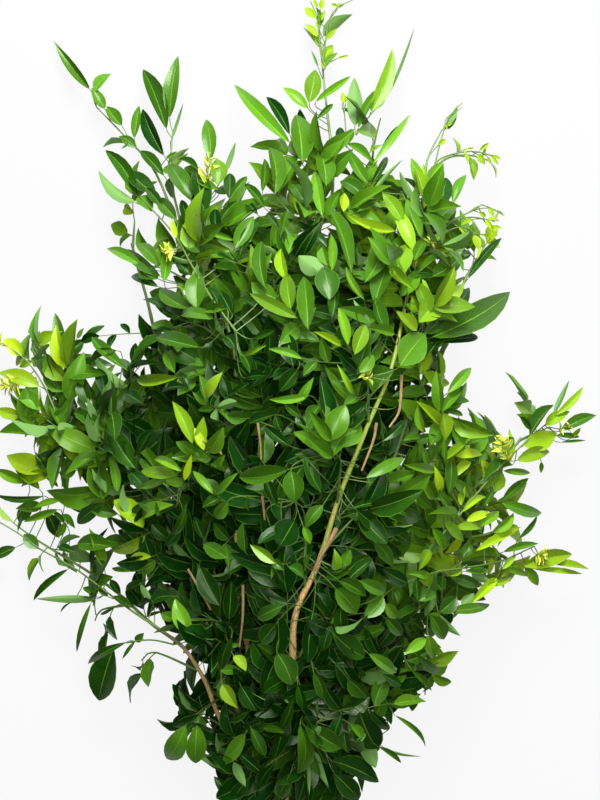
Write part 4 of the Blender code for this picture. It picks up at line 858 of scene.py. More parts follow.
# Their jitter along the stem and round it, their length's spread, their leaflets (the last number isn't
# reached), and how many of them grow on a bare stretch: one in BARE_EVERY.
STEM_JITTER = 0.8
STEM_TURN = 0.3
STEM_SPREAD = (0.75, 1.15)
STEM_LEAFLETS = (5, 8)
BARE_EVERY = 4

# Stretches of stem that no leaflet lies over: the stem, and the lowest and highest Y of the stretch. Then
# how near a leaflet may come beside and below it, and how many spots along the leaflet are looked at.
BARE_STRETCHES = (("stem_front", -216, 24), ("stem_left_low", -280, -200))
BARE_SIDE = 7
BARE_BELOW = 2
BLADE_SPOTS = 7

# Stems that slim down more than the others, and stems with a bark of their own, whose lighter tan is partly
# painted light on the stems in front.
STEM_SLIM = {"stem_front": 0.78}
STEM_BARKS = {"stem_front": "yellow_bark", "stem_left_low": "tan_bark", "stem_left_high": "tan_bark"}

# Leaves that close the bunch below: how many, where along Y, what share of its sides, their heights and
# lengths, how far below the middle they fan out from, and how much they differ from an even spread.
LOW_LEAVES = 125
LOW_FROM = -335
LOW_TO = 215
LOW_SIDES = 0.9
LOW_HEIGHTS = (14, 70)
LOW_LENGTHS = (70, 95)
LOW_HUB = 420
LOW_JITTER = 0.2
LOW_TURN = 0.7
LOW_RISE = 0.1
LOW_LEAFLETS = 7

# The share of the way from its stem to its base that a low leaf's and a placed leaf's foot stalk takes up.
LOW_FOOT = 0.4
PLACED_FOOT = 0.3

# How far to the left and right the leaves between the sprays reach at each height Y.
SIDES_Y = (-360, -330, -300, -260, -200, -150, -100, -50, 0, 45, 75, 130, 180, 220, 260, 300)
SIDES_LEFT = (-40, -70, -85, -105, -125, -160, -215, -264, -258, -215, -140, -128, -120, -60, -36, -5)
SIDES_RIGHT = (40, 62, 74, 92, 115, 150, 190, 200, 155, 112, 140, 156, 156, 116, 70, 45)


class FoliageSizes(bpy.types.PropertyGroup):
    """The sizes of the leaves and stems."""

    blade_width: FloatProperty(
        name="Leaflet Width", description="Width of a leaflet as a share of its length", default=0.5,
        min=0.2, max=0.8, subtype="FACTOR")
    blade_thickness: FloatProperty(
        name="Leaflet Thickness", description="Thickness of a leaflet at its middle", default=0.00036,
        min=0.0001, max=0.002, unit="LENGTH")
    stem_sides: IntProperty(
        name="Stem Sides", description="Corners round a stem", default=12, min=6, max=32)
    stem_leaf_length: FloatProperty(
        name="Stem Leaf Length", description="Length of a whole leaf that grows straight from a stem",
        default=0.078, min=0.03, max=0.15, unit="LENGTH")


class FoliageColours(bpy.types.PropertyGroup):
    """The colours of the leaves, bark and band."""

    # The old colour is very dark: partly an old leaf's own colour, partly painted shade of the leaves deep
    # in the bunch.
    old: FloatVectorProperty(
        name="Old Leaf", description="Upper side of an old leaf", subtype="COLOR", size=4,
        default=(0.002, 0.03, 0.002, 1.0), min=0, max=1)
    grown: FloatVectorProperty(
        name="Grown Leaf", description="Upper side of a grown leaf", subtype="COLOR", size=4,
        default=(0.066, 0.185, 0.008, 1.0), min=0, max=1)
    young: FloatVectorProperty(
        name="Young Leaf", description="Upper side of a young leaf", subtype="COLOR", size=4,
        default=(0.36, 0.5, 0.008, 1.0), min=0, max=1)
    under: FloatVectorProperty(
        name="Leaf Underside", description="Paler underside of a leaf", subtype="COLOR", size=4,
        default=(0.12, 0.25, 0.06, 1.0), min=0, max=1)
    rib: FloatVectorProperty(
        name="Midrib", description="Midrib and side veins", subtype="COLOR", size=4,
        default=(0.19, 0.36, 0.03, 1.0), min=0, max=1)
    # Dark old bark: partly its own colour, partly painted shade on the stems further back.
    bark_low: FloatVectorProperty(
        name="Old Bark", description="Bark at the foot of a stem", subtype="COLOR", size=4,
        default=(0.16, 0.095, 0.03, 1.0), min=0, max=1)
    # Tan bark, lightened: partly its own colour, partly painted light on the stems in front.
    bark_tan: FloatVectorProperty(
        name="Tan Bark", description="Bark of the stems in front", subtype="COLOR", size=4,
        default=(0.74, 0.48, 0.18, 1.0), min=0, max=1)
    bark_yellow: FloatVectorProperty(
        name="Yellow Bark", description="Upper bark of the stem in front", subtype="COLOR", size=4,
        default=(0.27, 0.37, 0.035, 1.0), min=0, max=1)
    bark_brown: FloatVectorProperty(
        name="Brown Bark", description="Bark of the short bare twigs", subtype="COLOR", size=4,
        default=(0.27, 0.17, 0.065, 1.0), min=0, max=1)
    bark_green: FloatVectorProperty(
        name="Green Bark", description="Bark of shoots and upper stems", subtype="COLOR", size=4,
        default=(0.075, 0.15, 0.018, 1.0), min=0, max=1)
    band: FloatVectorProperty(
        name="Band", description="Rubber of the band", subtype="COLOR", size=4,
        default=(0.42, 0.26, 0.12, 1.0), min=0, max=1)


# ---------------------------------------------------------------- places

def draws(kind, number=0):
    """The random stream of one piece of a kind."""
    return np.random.default_rng([SEED, STREAMS[kind] + number])


def settled(points):
    """Points of the tables let down with their distance from the heart of the bunch.

    The height is multiplied by 1 - SAG * smoothstep(reach), where reach is the distance sideways and towards
    the tips, in shares of SAG_SIDE and SAG_TOP.
    """
    points = np.atleast_2d(np.array(points, dtype=float))
    reach = np.hypot(points[:, 0] / SAG_SIDE, np.maximum(0, points[:, 1] - SAG_FROM) / SAG_TOP)
    share = np.minimum(reach, 1)
    points[:, 2] *= 1 - SAG * share * share * (3 - 2 * share)
    return points


def pressed(points):
    """Points kept above the surface: below SOFT_HEIGHT their height eases exponentially to FLOOR_MARGIN."""
    span = SOFT_HEIGHT - FLOOR_MARGIN
    low = np.minimum(points[..., 2], SOFT_HEIGHT)
    soft = FLOOR_MARGIN + span * np.exp((low - SOFT_HEIGHT) / span)
    out = points.copy()
    out[..., 2] = np.where(points[..., 2] < SOFT_HEIGHT, soft, points[..., 2])
    return out


def drawn_in(points):
    """Points moved in towards the middle the higher they are, so that they keep their place in the view."""
    near = 1 - (points[:, 2] - FOCUS_HEIGHT) / VIEW_DISTANCE
    return np.stack([points[:, 0] * near, points[:, 1] * near, points[:, 2]], axis=1)


def crown(x, y):
    """How high the upper leaves stand before they settle: a dome that falls with the distance squared."""
    fall_x = CROWN_FALL[0] * ((x - CROWN_MIDDLE[0]) / CROWN_REACH[0]) ** 2
    fall_y = CROWN_FALL[1] * ((y - CROWN_MIDDLE[1]) / CROWN_REACH[1]) ** 2
    return CROWN_HEIGHT - fall_x - fall_y


def kept_in_box(points):
    """Leaflets moved whole, where they would reach further than the solids do."""
    low = (np.array(CAD_BOX[0]) - STEP) / MM - PAST_LOW
    high = (np.array(CAD_BOX[1]) - STEP) / MM + PAST_HIGH
    inward = np.maximum(low - points.min(axis=1), 0)
    outward = np.maximum(points.max(axis=1) - high, 0)
    return points + (inward - outward)[:, None]


def smooth_path(points, step):
    """Points about step apart on a Catmull-Rom curve through the given ones."""
    points = np.array(points, dtype=float)
    ends = np.vstack([2 * points[0] - points[1], points, 2 * points[-1] - points[-2]])
    rows = [points[:1]]
    for before, start, end, after in zip(ends, ends[1:], ends[2:], ends[3:]):
        parts = max(1, round(float(np.linalg.norm(end - start)) / step))
        t = (np.arange(1, parts + 1) / parts)[:, None]
        bend = 2 * start + (end - before) * t + (2 * before - 5 * start + 4 * end - after) * t ** 2
        bend = bend + (3 * start - before - 3 * end + after) * t ** 3
        rows.append(bend / 2)
    return np.vstack(rows)


def along(path, shares):
    """Points at shares of a path's length, and the directions there, by linear interpolation."""
    steps = np.linalg.norm(np.diff(path, axis=0), axis=1)
    lengths = np.concatenate([[0], np.cumsum(steps)])
    at = np.clip(np.atleast_1d(shares), 0, 1) * lengths[-1]
    points = np.stack([np.interp(at, lengths, path[:, axis]) for axis in range(3)], axis=1)
    leg = np.clip(np.searchsorted(lengths, at, side="right") - 1, 0, len(steps) - 1)
    ways = (path[leg + 1] - path[leg]) / steps[leg][:, None]
    return points, ways


def bowed(start, middle, end):
    """A stalk: start (1-t)^2 + middle 2t(1-t) + end t^2."""
    t = np.linspace(0, 1, STALK_STATIONS)[:, None]
    return start * (1 - t) ** 2 + middle * 2 * t * (1 - t) + end * t ** 2


def unit(vectors):
    """Vectors scaled to a length of one."""
    return vectors / np.maximum(np.linalg.norm(vectors, axis=-1, keepdims=True), 1e-9)


def pointing(turn, rise):
    """The way that is turn degrees from +X, and rises by rise over a length of one."""
    return np.array([math.cos(math.radians(turn)), math.sin(math.radians(turn)), rise])


def beside(ahead, facing, step):
    """Square to a stalk and to the way its leaf faces, to the left and the right by turns."""
    return unit(np.cross(ahead, facing)) * (1 if step % 2 else -1)


def facing_at(points, rng, unevenness):
    """The way leaves turn their upper sides: out from the heart of the bunch and mostly up, unevenly."""
    out = (points - np.array(FACING_HEART)) / FACING_SPREAD
    return unit(unit(out) + rng.uniform(-1, 1, out.shape) * unevenness)


def nearest(places, point):
    """The nearest of the places to a point."""
    return places[np.argmin(np.linalg.norm(places - point, axis=1))]


def stem_paths():
    """Each stem's path and its lower and upper radius, from cut end to tip, as in the solids."""
    paths = {}
    for name, (slot, low, high, points) in STEMS.items():
        angle = math.tau * slot / (len(STEMS) - 1)
        reach = TIE_INNER - SEAT_GAP - low
        offset = np.array([math.cos(angle), 0, math.sin(angle)]) * reach
        if slot == 0:
            offset = np.array([-MIDDLE_SHIFT, 0, 0])
        start = TIE + offset
        cut = start + (0, -CUT_END - CUT_STEP * (slot % 4), 0)
        knots = np.vstack([cut, start, start + (0, FAN_START, 0), settled(points)])
        paths[name] = (smooth_path(knots, STEM_STEP), low, high)
    return paths


def twig_path(points, lift):
    """A bare twig through its table points, at a lift over the upper leaves."""
    lifted = [(x, y, crown(x, y) + lift) for x, y in points]
    return smooth_path(drawn_in(settled(lifted)), TWIG_STEP)


def growth_places():
    """Points along every stem and shoot, which the low leaves and those listed one by one grow from."""
    return np.vstack([path for path, _, _ in stem_paths().values()] +
                     [grow_shoot(number, name)[0] for number, name in enumerate(SHOOTS)])


# ---------------------------------------------------------------- surfaces

def tubes_surface(paths, radii, sides):
    """Closed tubes: a circle carried along each path.

    paths is (tubes, stations, 3) and radii is (tubes, stations). A corner is centre + radius * (side * cos a
    + up * sin a), where side is square to the path's direction and a fixed vector, and up to both. The ends
    close on the first and last station's centre.
    """
    tubes, stations, _ = paths.shape
    ways = unit(np.gradient(paths, axis=1))
    fixed = np.where(np.abs(ways[:, :1, 2:3]) > STEEP, [1.0, 0, 0], [0, 0, 1.0])
    side = unit(np.cross(ways, fixed))
    up = np.cross(side, ways)
    turn = (np.arange(sides) / sides * math.tau)[None, None, :, None]
    ring = side[:, :, None] * np.cos(turn) + up[:, :, None] * np.sin(turn)
    skin = paths[:, :, None] + radii[:, :, None, None] * ring
    ends = np.stack([paths[:, 0], paths[:, -1]], axis=1)
    points = np.concatenate([skin.reshape(tubes, -1, 3), ends], axis=1)
    walls, caps = ring_faces(stations, sides)
    share = np.concatenate([np.repeat(np.linspace(0, 1, stations), sides), [0, 1]])
    return points, [walls, *caps], share


def ring_faces(rings, corners):
    """The faces of a closed tube: squares between rings of corners, and triangles to a point at each end.

    The rings turn so that the squares face outwards, and the two end points follow the last ring.
    """
    ring, corner = np.meshgrid(np.arange(rings - 1), np.arange(corners), indexing="ij")
    near = (ring * corners + corner).ravel()
    near_next = (ring * corners + (corner + 1) % corners).ravel()
    walls = np.stack([near, near_next, near_next + corners, near + corners], axis=1)
    first = np.arange(corners)
    last = first + (rings - 1) * corners
    low_cap = np.stack([np.full(corners, rings * corners), np.roll(first, -1), first], axis=1)
    high_cap = np.stack([np.full(corners, rings * corners + 1), last, np.roll(last, -1)], axis=1)
    return walls, [low_cap, high_cap]


def leaflets_surface(rows, rings, width, thickness):
    """Leaflets: a flat ring of eight corners carried from base to tip, with a point at each end.

    With u along the leaflet and v across it, half the width is u^foot * (1-u)^point over its greatest value.
    The blade cups up from its midrib by sin(fold) * |v|^1.4, arches by 4u(1-u), curls down by curl * u^2,
    twists by twist * (u - 0.3), bends sideways by sway * 4u(1-u), and its edges wave by sin(3 pi u). Both
    sides share the edge, so it is closed, and the squares below start a corner later, so that both sides are
    cut along the same diagonals.
    """
    base, tip, facing = rows["base"], rows["tip"], rows["facing"]
    count = len(base)
    length = np.linalg.norm(tip - base, axis=1)
    forward = unit(tip - base)
    up = unit(facing - forward * np.sum(facing * forward, axis=1, keepdims=True))
    side = np.cross(forward, up)
    foot, point = rows["foot"][:, None], rows["point"][:, None]
    widest = foot / (foot + point)
    profile = (rings / widest) ** foot * ((1 - rings) / (1 - widest)) ** point
    half = (rows["width"] * width * length / 2)[:, None, None] * profile[:, :, None]
    v = RING_ACROSS[None, None, :]
    u = rings[None, :, None]
    long = length[:, None, None]
    fold, arch, curl, twist, wave, phase, sway = (
        rows[key][:, None, None] for key in ("fold", "arch", "curl", "twist", "wave", "phase", "sway"))
    spread = v * half * np.cos(fold * CUP_NARROWS)
    rise = np.abs(v) ** CUP_POWER * half * np.sin(fold) - fold * CUP_SINK * half
    rise = rise + wave * half * np.sin(3 * math.pi * u + phase) * np.abs(v)
    sink = long * (arch * 4 * u * (1 - u) - curl * u ** 2)
    over = rise - RING_UNDER[None, None, :] * thickness * (1 - v ** 2)
    turn = twist * (u - TWIST_FROM)
    aside = 4 * long * sway * u * (1 - u) + spread * np.cos(turn) - over * np.sin(turn)
    lift = sink + spread * np.sin(turn) + over * np.cos(turn)
    skin = (base[:, None, None] + forward[:, None, None] * (u * long)[..., None]
            + side[:, None, None] * aside[..., None] + up[:, None, None] * lift[..., None])
    end = tip - up * (length * rows["curl"])[:, None]
    points = np.concatenate([skin.reshape(count, -1, 3), base[:, None], end[:, None]], axis=1)

    corners = len(RING_ACROSS)
    walls, caps = ring_faces(len(rings), corners)
    is_under = np.arange(corners) >= UNDER_FROM
    wall_under = np.tile(is_under, len(rings) - 1)
    walls = walls[:, [1, 0, 3, 2]]
    walls[wall_under] = np.roll(walls[wall_under], -1, axis=1)
    caps = [cap[:, [0, 2, 1]] for cap in caps]
    down_blade = np.concatenate([np.repeat(rings, corners), [0, 1]])
    across = np.concatenate([np.tile(RING_ACROSS, len(rings)), [0, 0]])
    patches = []
    for faces, under in zip((walls, *caps), (wall_under, is_under, is_under)):
        patches.append(np.stack([across[faces] * 0.5 + 0.5 + 2 * under[:, None], down_blade[faces]], axis=2))
    return points, [walls, *caps], patches


def piece(name, points, face_groups, uv_groups=None, values=None):
    """A mesh object from repeated patches: points (copies, points, 3) in mm and the faces of one copy."""
    copies, per_copy, _ = points.shape
    shift = (np.arange(copies) * per_copy)[:, None, None]
    loops, starts, sizes, uvs = [], [], [], []
    start = 0
    for number, faces in enumerate(face_groups):
        all_faces = (faces[None] + shift).reshape(-1, faces.shape[1])
        loops.append(all_faces.ravel())
        starts.append(start + np.arange(len(all_faces)) * faces.shape[1])
        sizes.append(np.full(len(all_faces), faces.shape[1]))
        start += all_faces.size
        if uv_groups is not None:
            uvs.append(np.tile(uv_groups[number].reshape(-1, 2), (copies, 1)))
    mesh = bpy.data.meshes.new(name)
    mesh.vertices.add(copies * per_copy)
    mesh.vertices.foreach_set("co", (points.reshape(-1, 3) * MM + STEP).astype(np.float32).ravel())
    mesh.loops.add(start)
    mesh.loops.foreach_set("vertex_index", np.concatenate(loops).astype(np.int32))
    starts = np.concatenate(starts).astype(np.int32)
    mesh.polygons.add(len(starts))
    mesh.polygons.foreach_set("loop_start", starts)
    mesh.polygons.foreach_set("loop_total", np.concatenate(sizes).astype(np.int32))
    mesh.update(calc_edges=True)
    if uv_groups is not None:
        layer = mesh.uv_layers.new(name="blade")
        layer.data.foreach_set("uv", np.concatenate(uvs).astype(np.float32).ravel())
    for key, data in (values or {}).items():
        attribute = mesh.attributes.new(key, "FLOAT", "POINT")
        attribute.data.foreach_set("value", data.astype(np.float32).ravel())
    if mesh.validate():
        raise RuntimeError(name + " has a bad mesh")
    mesh.shade_smooth()
    mesh.set_sharp_from_angle(angle=math.radians(SHARP_ANGLE))
    thing = bpy.data.objects.new(name, mesh)
    bpy.context.scene.collection.objects.link(thing)
    return thing


def leaf_piece(name, rows, rng, look):
    """The leaflets of one shoot, stem or group as one piece."""
    sizes = bpy.context.scene.foliage_sizes
    data = finish_rows(rows, rng)
    width, thickness = sizes.blade_width, sizes.blade_thickness / MM
    points, faces, patches = leaflets_surface(data, rows["rings"], width, thickness)
    points = kept_in_box(pressed(points))
    copies, per_copy, _ = points.shape
    each = {"young": data["young"], "tone": rng.uniform(0, 1, copies)}
    values = {key: np.repeat(numbers, per_copy) for key, numbers in each.items()}
    leaves = piece(name, points, faces, patches, values)
    leaves.data.materials.append(surface(look))
    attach(leaves, BODY)
    return leaves


def bark_piece(name, tubes, look, share_range):
    """Closed tubes with bark as one piece. Its share attribute runs over share_range from foot to tip."""
    points, faces, share = tubes
    low, high = share_range
    values = {"share": np.tile(share * (high - low) + low, len(points))}
    bark = piece(name, points, faces, None, values)
    bark.data.materials.append(surface(look))
    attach(bark, BODY)
    return bark


def shoot_twig(name, path, radii, rows):
    """A shoot's twig and its leaf stalks as one piece."""
    shares = np.linspace(0, 1, SHOOT_STATIONS)
    paths = np.array([along(np.array(line), shares)[0] for line in (path, *rows["stalk"])])
    stalk = np.linspace(RACHIS_RADIUS, RACHIS_TIP_RADIUS, SHOOT_STATIONS)
    thick = np.vstack([np.linspace(*radii, SHOOT_STATIONS)] + [stalk] * len(rows["stalk"]))
    bark_piece(name, tubes_surface(pressed(paths), thick, SHOOT_SIDES), "twig", STALK_SHARES)


def bare_twig(name, path, radius, look, share_range):
    """A bare twig, which tapers towards its tip."""
    line, _ = along(path, np.linspace(0, 1, TWIG_STATIONS))
    thick = np.linspace(radius, radius * BARE_TAPER, TWIG_STATIONS)
    points, faces, share = tubes_surface(line[None], thick[None], TWIG_SIDES)
    bark_piece(name, (pressed(points), faces, share), look, share_range)


def add_growth(name, rows, rng, slot, look=None):
    """The leaflets and stalks of one group as two pieces."""
    leaf_piece(name, rows, rng, look or slot)
    paths = pressed(np.array(rows["stalk"]))
    radii = np.tile(np.linspace(RACHIS_RADIUS, RACHIS_TIP_RADIUS, STALK_STATIONS), (len(paths), 1))
    bark_piece(name + "_stalks", tubes_surface(paths, radii, STALK_SIDES), "twig", STALK_SHARES)


# ---------------------------------------------------------------- growth

def new_rows(calm=1.0, rings=RINGS):
    """Lists that gather a piece's leaflets and stalks, with how calm its leaflets lie, and its rings."""
    rows = {key: [] for key in ("base", "tip", "facing", "young", "size", "stalk")}
    return {**rows, "calm": calm, "rings": rings}


def add_leaflet(rows, base, tip, facing, young, rng, unevenness, width=None):
    """One leaflet, with its upper side turned a little away from its leaf's; a longer one is less wide."""
    length = float(np.linalg.norm(tip - base))
    if width is None:
        size = min(WIDEST, (USUAL_LENGTH / length) ** LONG_NARROWS)
    else:
        size = width / (USUAL_WIDTH * length)
    facing = unit(facing + rng.uniform(-1, 1, 3) * unevenness)
    for key, value in (("base", base), ("tip", tip), ("facing", facing), ("young", young), ("size", size)):
        rows[key].append(value)


def grow_leaf(rows, base, tip, count, young, rng, unevenness=SHOOT_UNEVEN):
    """A whole leaf: a stalk bowed between base and tip, a last leaflet, and side leaflets along the stalk.

    The side leaflets stand alternately to the left and right, larger towards the tip.
    """
    span = tip - base
    reach = float(np.linalg.norm(span))
    if count == 1:
        length = min(reach * SINGLE_SHARE, SINGLE_LONGEST)
    else:
        shortest = min(TERMINAL_SHORTEST, reach * SHORT_SHARE)
        length = max(min(reach * TERMINAL_SHARE, TERMINAL_LONGEST), shortest)
    facing = facing_at(tip[None], rng, unevenness)[0]
    end = tip - span / reach * length
    halfway = (base + end) / 2
    middle = halfway + 2 * facing * np.linalg.norm(end - base) * rng.uniform(*STALK_BOW)
    stalk = bowed(base, middle, end)
    rows["stalk"].append(stalk)
    add_leaflet(rows, end - unit(tip - end) * LEAFLET_OVERLAP, tip, facing, young, rng, LAST_UNEVEN)
    sides = count - 1
    if sides == 0:
        return
    shares = SIDES_FROM + SIDES_SPAN * (np.arange(sides) + rng.uniform(*SIDES_JITTER)) / sides
    points, ways = along(stalk, np.minimum(shares, SIDES_LAST))
    for step in range(sides):
        side = beside(ways[step], facing, step)
        angle = LATERAL_ANGLE + rng.uniform(-LATERAL_SPREAD, LATERAL_SPREAD)
        heading = ways[step] * math.cos(angle) + side * math.sin(angle) - facing * rng.uniform(*SIDE_LEAN)
        size = length * (SIDE_SIZE[0] + SIDE_SIZE[1] * shares[step]) * rng.uniform(*SIDE_SPREAD)
        add_leaflet(rows, points[step], points[step] + unit(heading) * size, facing, young, rng, SIDE_UNEVEN)


def hang_leaf(rows, foot, base, share, *leaf):
    """A whole leaf whose straight foot stalk takes up a share of the way from its stem to its base."""
    start = foot + (base - foot) * share
    grow_leaf(rows, start, *leaf)
    rows["stalk"].append(bowed(foot, (foot + start) / 2, start))


def off_bare_stems(data):
    """The leaflets that don't lie over a bare stretch of stem or a brown twig."""
    shares = np.linspace(0, 1, BLADE_SPOTS)[None, :, None]
    spots = data["base"][:, None] * (1 - shares) + data["tip"][:, None] * shares
    covered = np.zeros(len(spots), dtype=bool)
    stretches = [(twig_path(points, -BROWN_DEPTH), BROWN_SIDE) for _, points in BROWN_TWIGS.values()]
    for name, low, high in BARE_STRETCHES:
        path = stem_paths()[name][0]
        stretches.append((path[(path[:, 1] > low) & (path[:, 1] < high)], BARE_SIDE))
    for path, side in stretches:
        apart = spots[:, :, None] - path[None, None]
        over = (np.hypot(apart[..., 0], apart[..., 1]) < side) & (apart[..., 2] > -BARE_BELOW)
        covered |= over.any(axis=(1, 2))
    return {key: values[~covered] for key, values in data.items()}


def finish_rows(rows, rng):
    """The gathered leaflets as arrays, each with its own fold, arch, curl, twist, wave and outline."""
    out = {key: np.array(rows[key]) for key in ("base", "tip", "facing", "young", "size")}
    out = off_bare_stems(out)
    count = len(out["base"])
    for key, kind, first, second in VARIETY:
        out[key] = getattr(rng, kind)(first, second, count)
    for key in ("curl", "twist", "wave"):
        out[key] *= rows["calm"]
    out["width"] *= out["size"]
    fresh = np.clip(out["young"] / FRESH_AGE, 0, 1)
    out["foot"] += FRESH_FOOT * fresh
    out["point"] += FRESH_POINT * fresh
    out["young"] = np.clip(out["young"] + rng.normal(0, AGE_SPREAD, count) * rows["calm"] ** 2, 0, 1)
    return out


def age_and_shade_at(point, rng):
    """How young a leaf is at a place: old in the heart of the bunch, and younger by the distance squared.
    The dark old colour in the heart is partly painted shade, and the young colour outwards partly painted
    light.
    """
    side, up = point[0] - OLD_SHADED_HEART[0], point[1] - OLD_SHADED_HEART[1]
    reach = math.hypot(side / OLD_SHADED_REACH[0 if side < 0 else 1], up / OLD_SHADED_REACH[2 if up > 0 else 3])
    return AGE_GAIN * min(reach, AGE_FARTHEST) ** 2 + rng.normal(0, AGE_NOISE) - AGE_SHIFT


def within_sides(foot, reach):
    """A leaf's tip, turned back over its foot where it would stand out past the sides of the bunch."""
    tip = foot + reach
    left = np.interp(tip[1], SIDES_Y, SIDES_LEFT)
    right = np.interp(tip[1], SIDES_Y, SIDES_RIGHT)
    if left < tip[0] < right:
        return tip
    return foot + reach * (-1, 1, 1)


def leaf_heading(ahead, spin, lean):
    """The way a leaf points from its stem: forward along it, and out at a turn round it."""
    side = unit(np.cross(ahead, (0, 0, 1.0)))
    up = np.cross(side, ahead)
    return unit(ahead * (1 - lean * LEAN_COST) + (side * math.cos(spin) + up * math.sin(spin)) * lean)


def placed_by_hand(x, y):
    """Whether a listed leaflet has its tip here."""
    return any(math.hypot(x - row[0], y - row[1]) < SAME_TIP
               for leaflets in SINGLE_LEAFLETS.values() for row in leaflets)


def grow_shoot(number, name):
    """A shoot's twig path and radii, and the leaves of its table row with more between them."""
    rng = draws("shoot", number)
    stem, share, points, leaves = SHOOTS[name]
    path, low, high = stem_paths()[stem]
    knots = settled(points)
    base, way = along(path, share)
    if share < 1:
        away = unit(knots[0] - base[0])
        radius = low + (high - low) * share
        start = [base[0], base[0] + away * (radius + BARK_CLEAR)]
    else:
        start = [base[0] - way[0] * TIP_OVERLAP]
    twig = smooth_path(np.vstack([*start, knots]), SHOOT_STEP)
    rows = new_rows()
    extra = MORE_LEAVES.get(name, DEFAULT_MORE)
    for at, x, y, z, count in leaves:
        if placed_by_hand(x, y):
            continue
        foot, _ = along(twig, min(at, TWIG_LAST))
        more = count + ADDED_LEAFLETS if extra > 1 else count
        young = max(YOUNG.get(name, 0) * YOUNG_SHARE, age_and_shade_at((x, y), rng)) - TABLE_OLDER
        grow_leaf(rows, foot[0], settled([x, y, z])[0], more, young, rng)
    spin = rng.uniform(0, math.tau)
    for step in range(extra):
        foot, ahead = along(twig, MORE_FROM + MORE_SPAN * (step + rng.uniform(0, 1)) / extra)
        heading = leaf_heading(ahead[0], spin + step * GOLDEN_ANGLE, SHOOT_LEAN)
        tip = within_sides(foot[0], heading * rng.uniform(*MORE_LENGTHS))
        if tip[1] > OPEN_FROM and rows["base"]:
            continue
        grow_leaf(rows, foot[0], tip, MORE_LEAFLETS, age_and_shade_at(tip, rng) - MORE_OLDER, rng)
    return twig, (min(TWIG_RADIUS, high), TWIG_TIP_RADIUS), rows, rng


def grow_stem_leaves(number, name):
    """The leaves that grow straight from a stem, each a golden angle further round it than the last."""
    rng = draws("stem_leaves", number)
    path = stem_paths()[name][0]
    start, end, spacing = STEM_LEAVES[name]
    length = float(np.linalg.norm(np.diff(path, axis=0), axis=1).sum())
    count = int(length * (end - start) / spacing)
    size = bpy.context.scene.foliage_sizes.stem_leaf_length / MM
    rows = new_rows()
    for step in range(count):
        share = start + (end - start) * (step + rng.uniform(0, STEM_JITTER)) / count
        foot, ahead = along(path, share)
        on_bare = any(name == bare and low < foot[0][1] < high for bare, low, high in BARE_STRETCHES)
        if on_bare and step % BARE_EVERY:
            continue
        spin = step * GOLDEN_ANGLE + rng.uniform(-STEM_TURN, STEM_TURN)
        heading = leaf_heading(ahead[0], spin, STEM_LEAN)
        tip = within_sides(foot[0], heading * size * rng.uniform(*STEM_SPREAD))
        leaflets = int(rng.integers(*STEM_LEAFLETS))
        grow_leaf(rows, foot[0], tip, leaflets, age_and_shade_at(tip, rng) - STEM_OLDER, rng, STEM_UNEVEN)
    return rows, rng


def grow_low_leaves(places):
    """Leaves spread evenly under the bunch, between its sides, which close it towards the surface.

    Leaf n stands at the share n * golden ratio (mod 1) from the left side to the right, row by row upwards.
    """
    rng = draws("low")
    rows = new_rows()
    for step in range(LOW_LEAVES):
        y = LOW_FROM + (LOW_TO - LOW_FROM) * (step + rng.uniform(0, 1)) / LOW_LEAVES
        left = np.interp(y, SIDES_Y, SIDES_LEFT) * LOW_SIDES
        right = np.interp(y, SIDES_Y, SIDES_RIGHT) * LOW_SIDES
        x = left + (right - left) * ((step * GOLDEN_SHARE + rng.uniform(0, LOW_JITTER)) % 1)
        tip = np.array([x, y, rng.uniform(*LOW_HEIGHTS)])
        out = math.atan2(y + LOW_HUB, x) + rng.uniform(-LOW_TURN, LOW_TURN)
        base = tip - np.array([math.cos(out), math.sin(out), LOW_RISE]) * rng.uniform(*LOW_LENGTHS)
        young = age_and_shade_at(tip, rng) - MORE_OLDER
        hang_leaf(rows, nearest(places, base), base, LOW_FOOT, tip, LOW_LEAFLETS, young, rng, LOW_UNEVEN)
    return rows, rng


def grow_singles(rng, leaflets, places, rings):
    """Listed leaflets, each on a bowed stalk with smaller ones beside it where the stalk is long."""
    rows = new_rows(PLACED_CALM, rings)
    for tip_x, tip_y, foot_x, foot_y, width, age in leaflets:
        lift = np.interp(abs(age), LIFT_AGES, LIFTS) + rng.uniform(-LIFT_SPREAD, LIFT_SPREAD)
        ends = [(tip_x, tip_y, crown(tip_x, tip_y) + lift),
                (foot_x, foot_y, crown(foot_x, foot_y) + lift - FOOT_DROP)]
        tip, base = drawn_in(settled(ends))
        young = min(abs(age), YOUNGEST_PLACED)
        ahead = unit(tip - base)
        length = float(np.linalg.norm(tip - base))
        foot = nearest(places, base - ahead * STALK_GAP)
        apart = float(np.linalg.norm(base - foot))
        behind, below = (min(apart * share, most) for share, most in (STALK_BEHIND, STALK_BELOW))
        middle = base - ahead * behind - np.array([0.0, 0.0, below])
        stalk = bowed(foot, middle, base)
        rows["stalk"].append(stalk)
        facing = unit(PLACED_FACING) * math.copysign(1, age)
        add_leaflet(rows, base, tip, facing, young, rng, SINGLE_UNEVEN, width * PLACED_WIDER)
        for step in range(int((apart - BARE_STALK) / STALK_GAP)):
            point, way = along(stalk, 1 - (step + BESIDE_FIRST) * STALK_GAP / apart)
            side = beside(ahead, facing, step)
            droop = facing * rng.uniform(0, BESIDE_DROOP)
            heading = unit(way[0] * BESIDE_AHEAD + side * BESIDE_OUT - droop)
            reach = min(length, BESIDE_LONGEST) * rng.uniform(*BESIDE_SPREAD)
            end = point[0] + heading * reach
            add_leaflet(rows, point[0], end, facing, young * BESIDE_AGE, rng, SIDE_UNEVEN)
    return rows, rng


def grow_placed(rng, leaves, places):
    """Listed whole leaves, each on a stalk from the nearest stem or twig."""
    rows = new_rows()
    for x, y, z, turn, length, count, young in leaves:
        tip = settled([x, y, z])[0]
        base = tip - unit(pointing(turn, PLACED_RISE)) * length
        hang_leaf(rows, nearest(places, base), base, PLACED_FOOT, tip, count, young, rng, PLACED_UNEVEN)
    return rows, rng


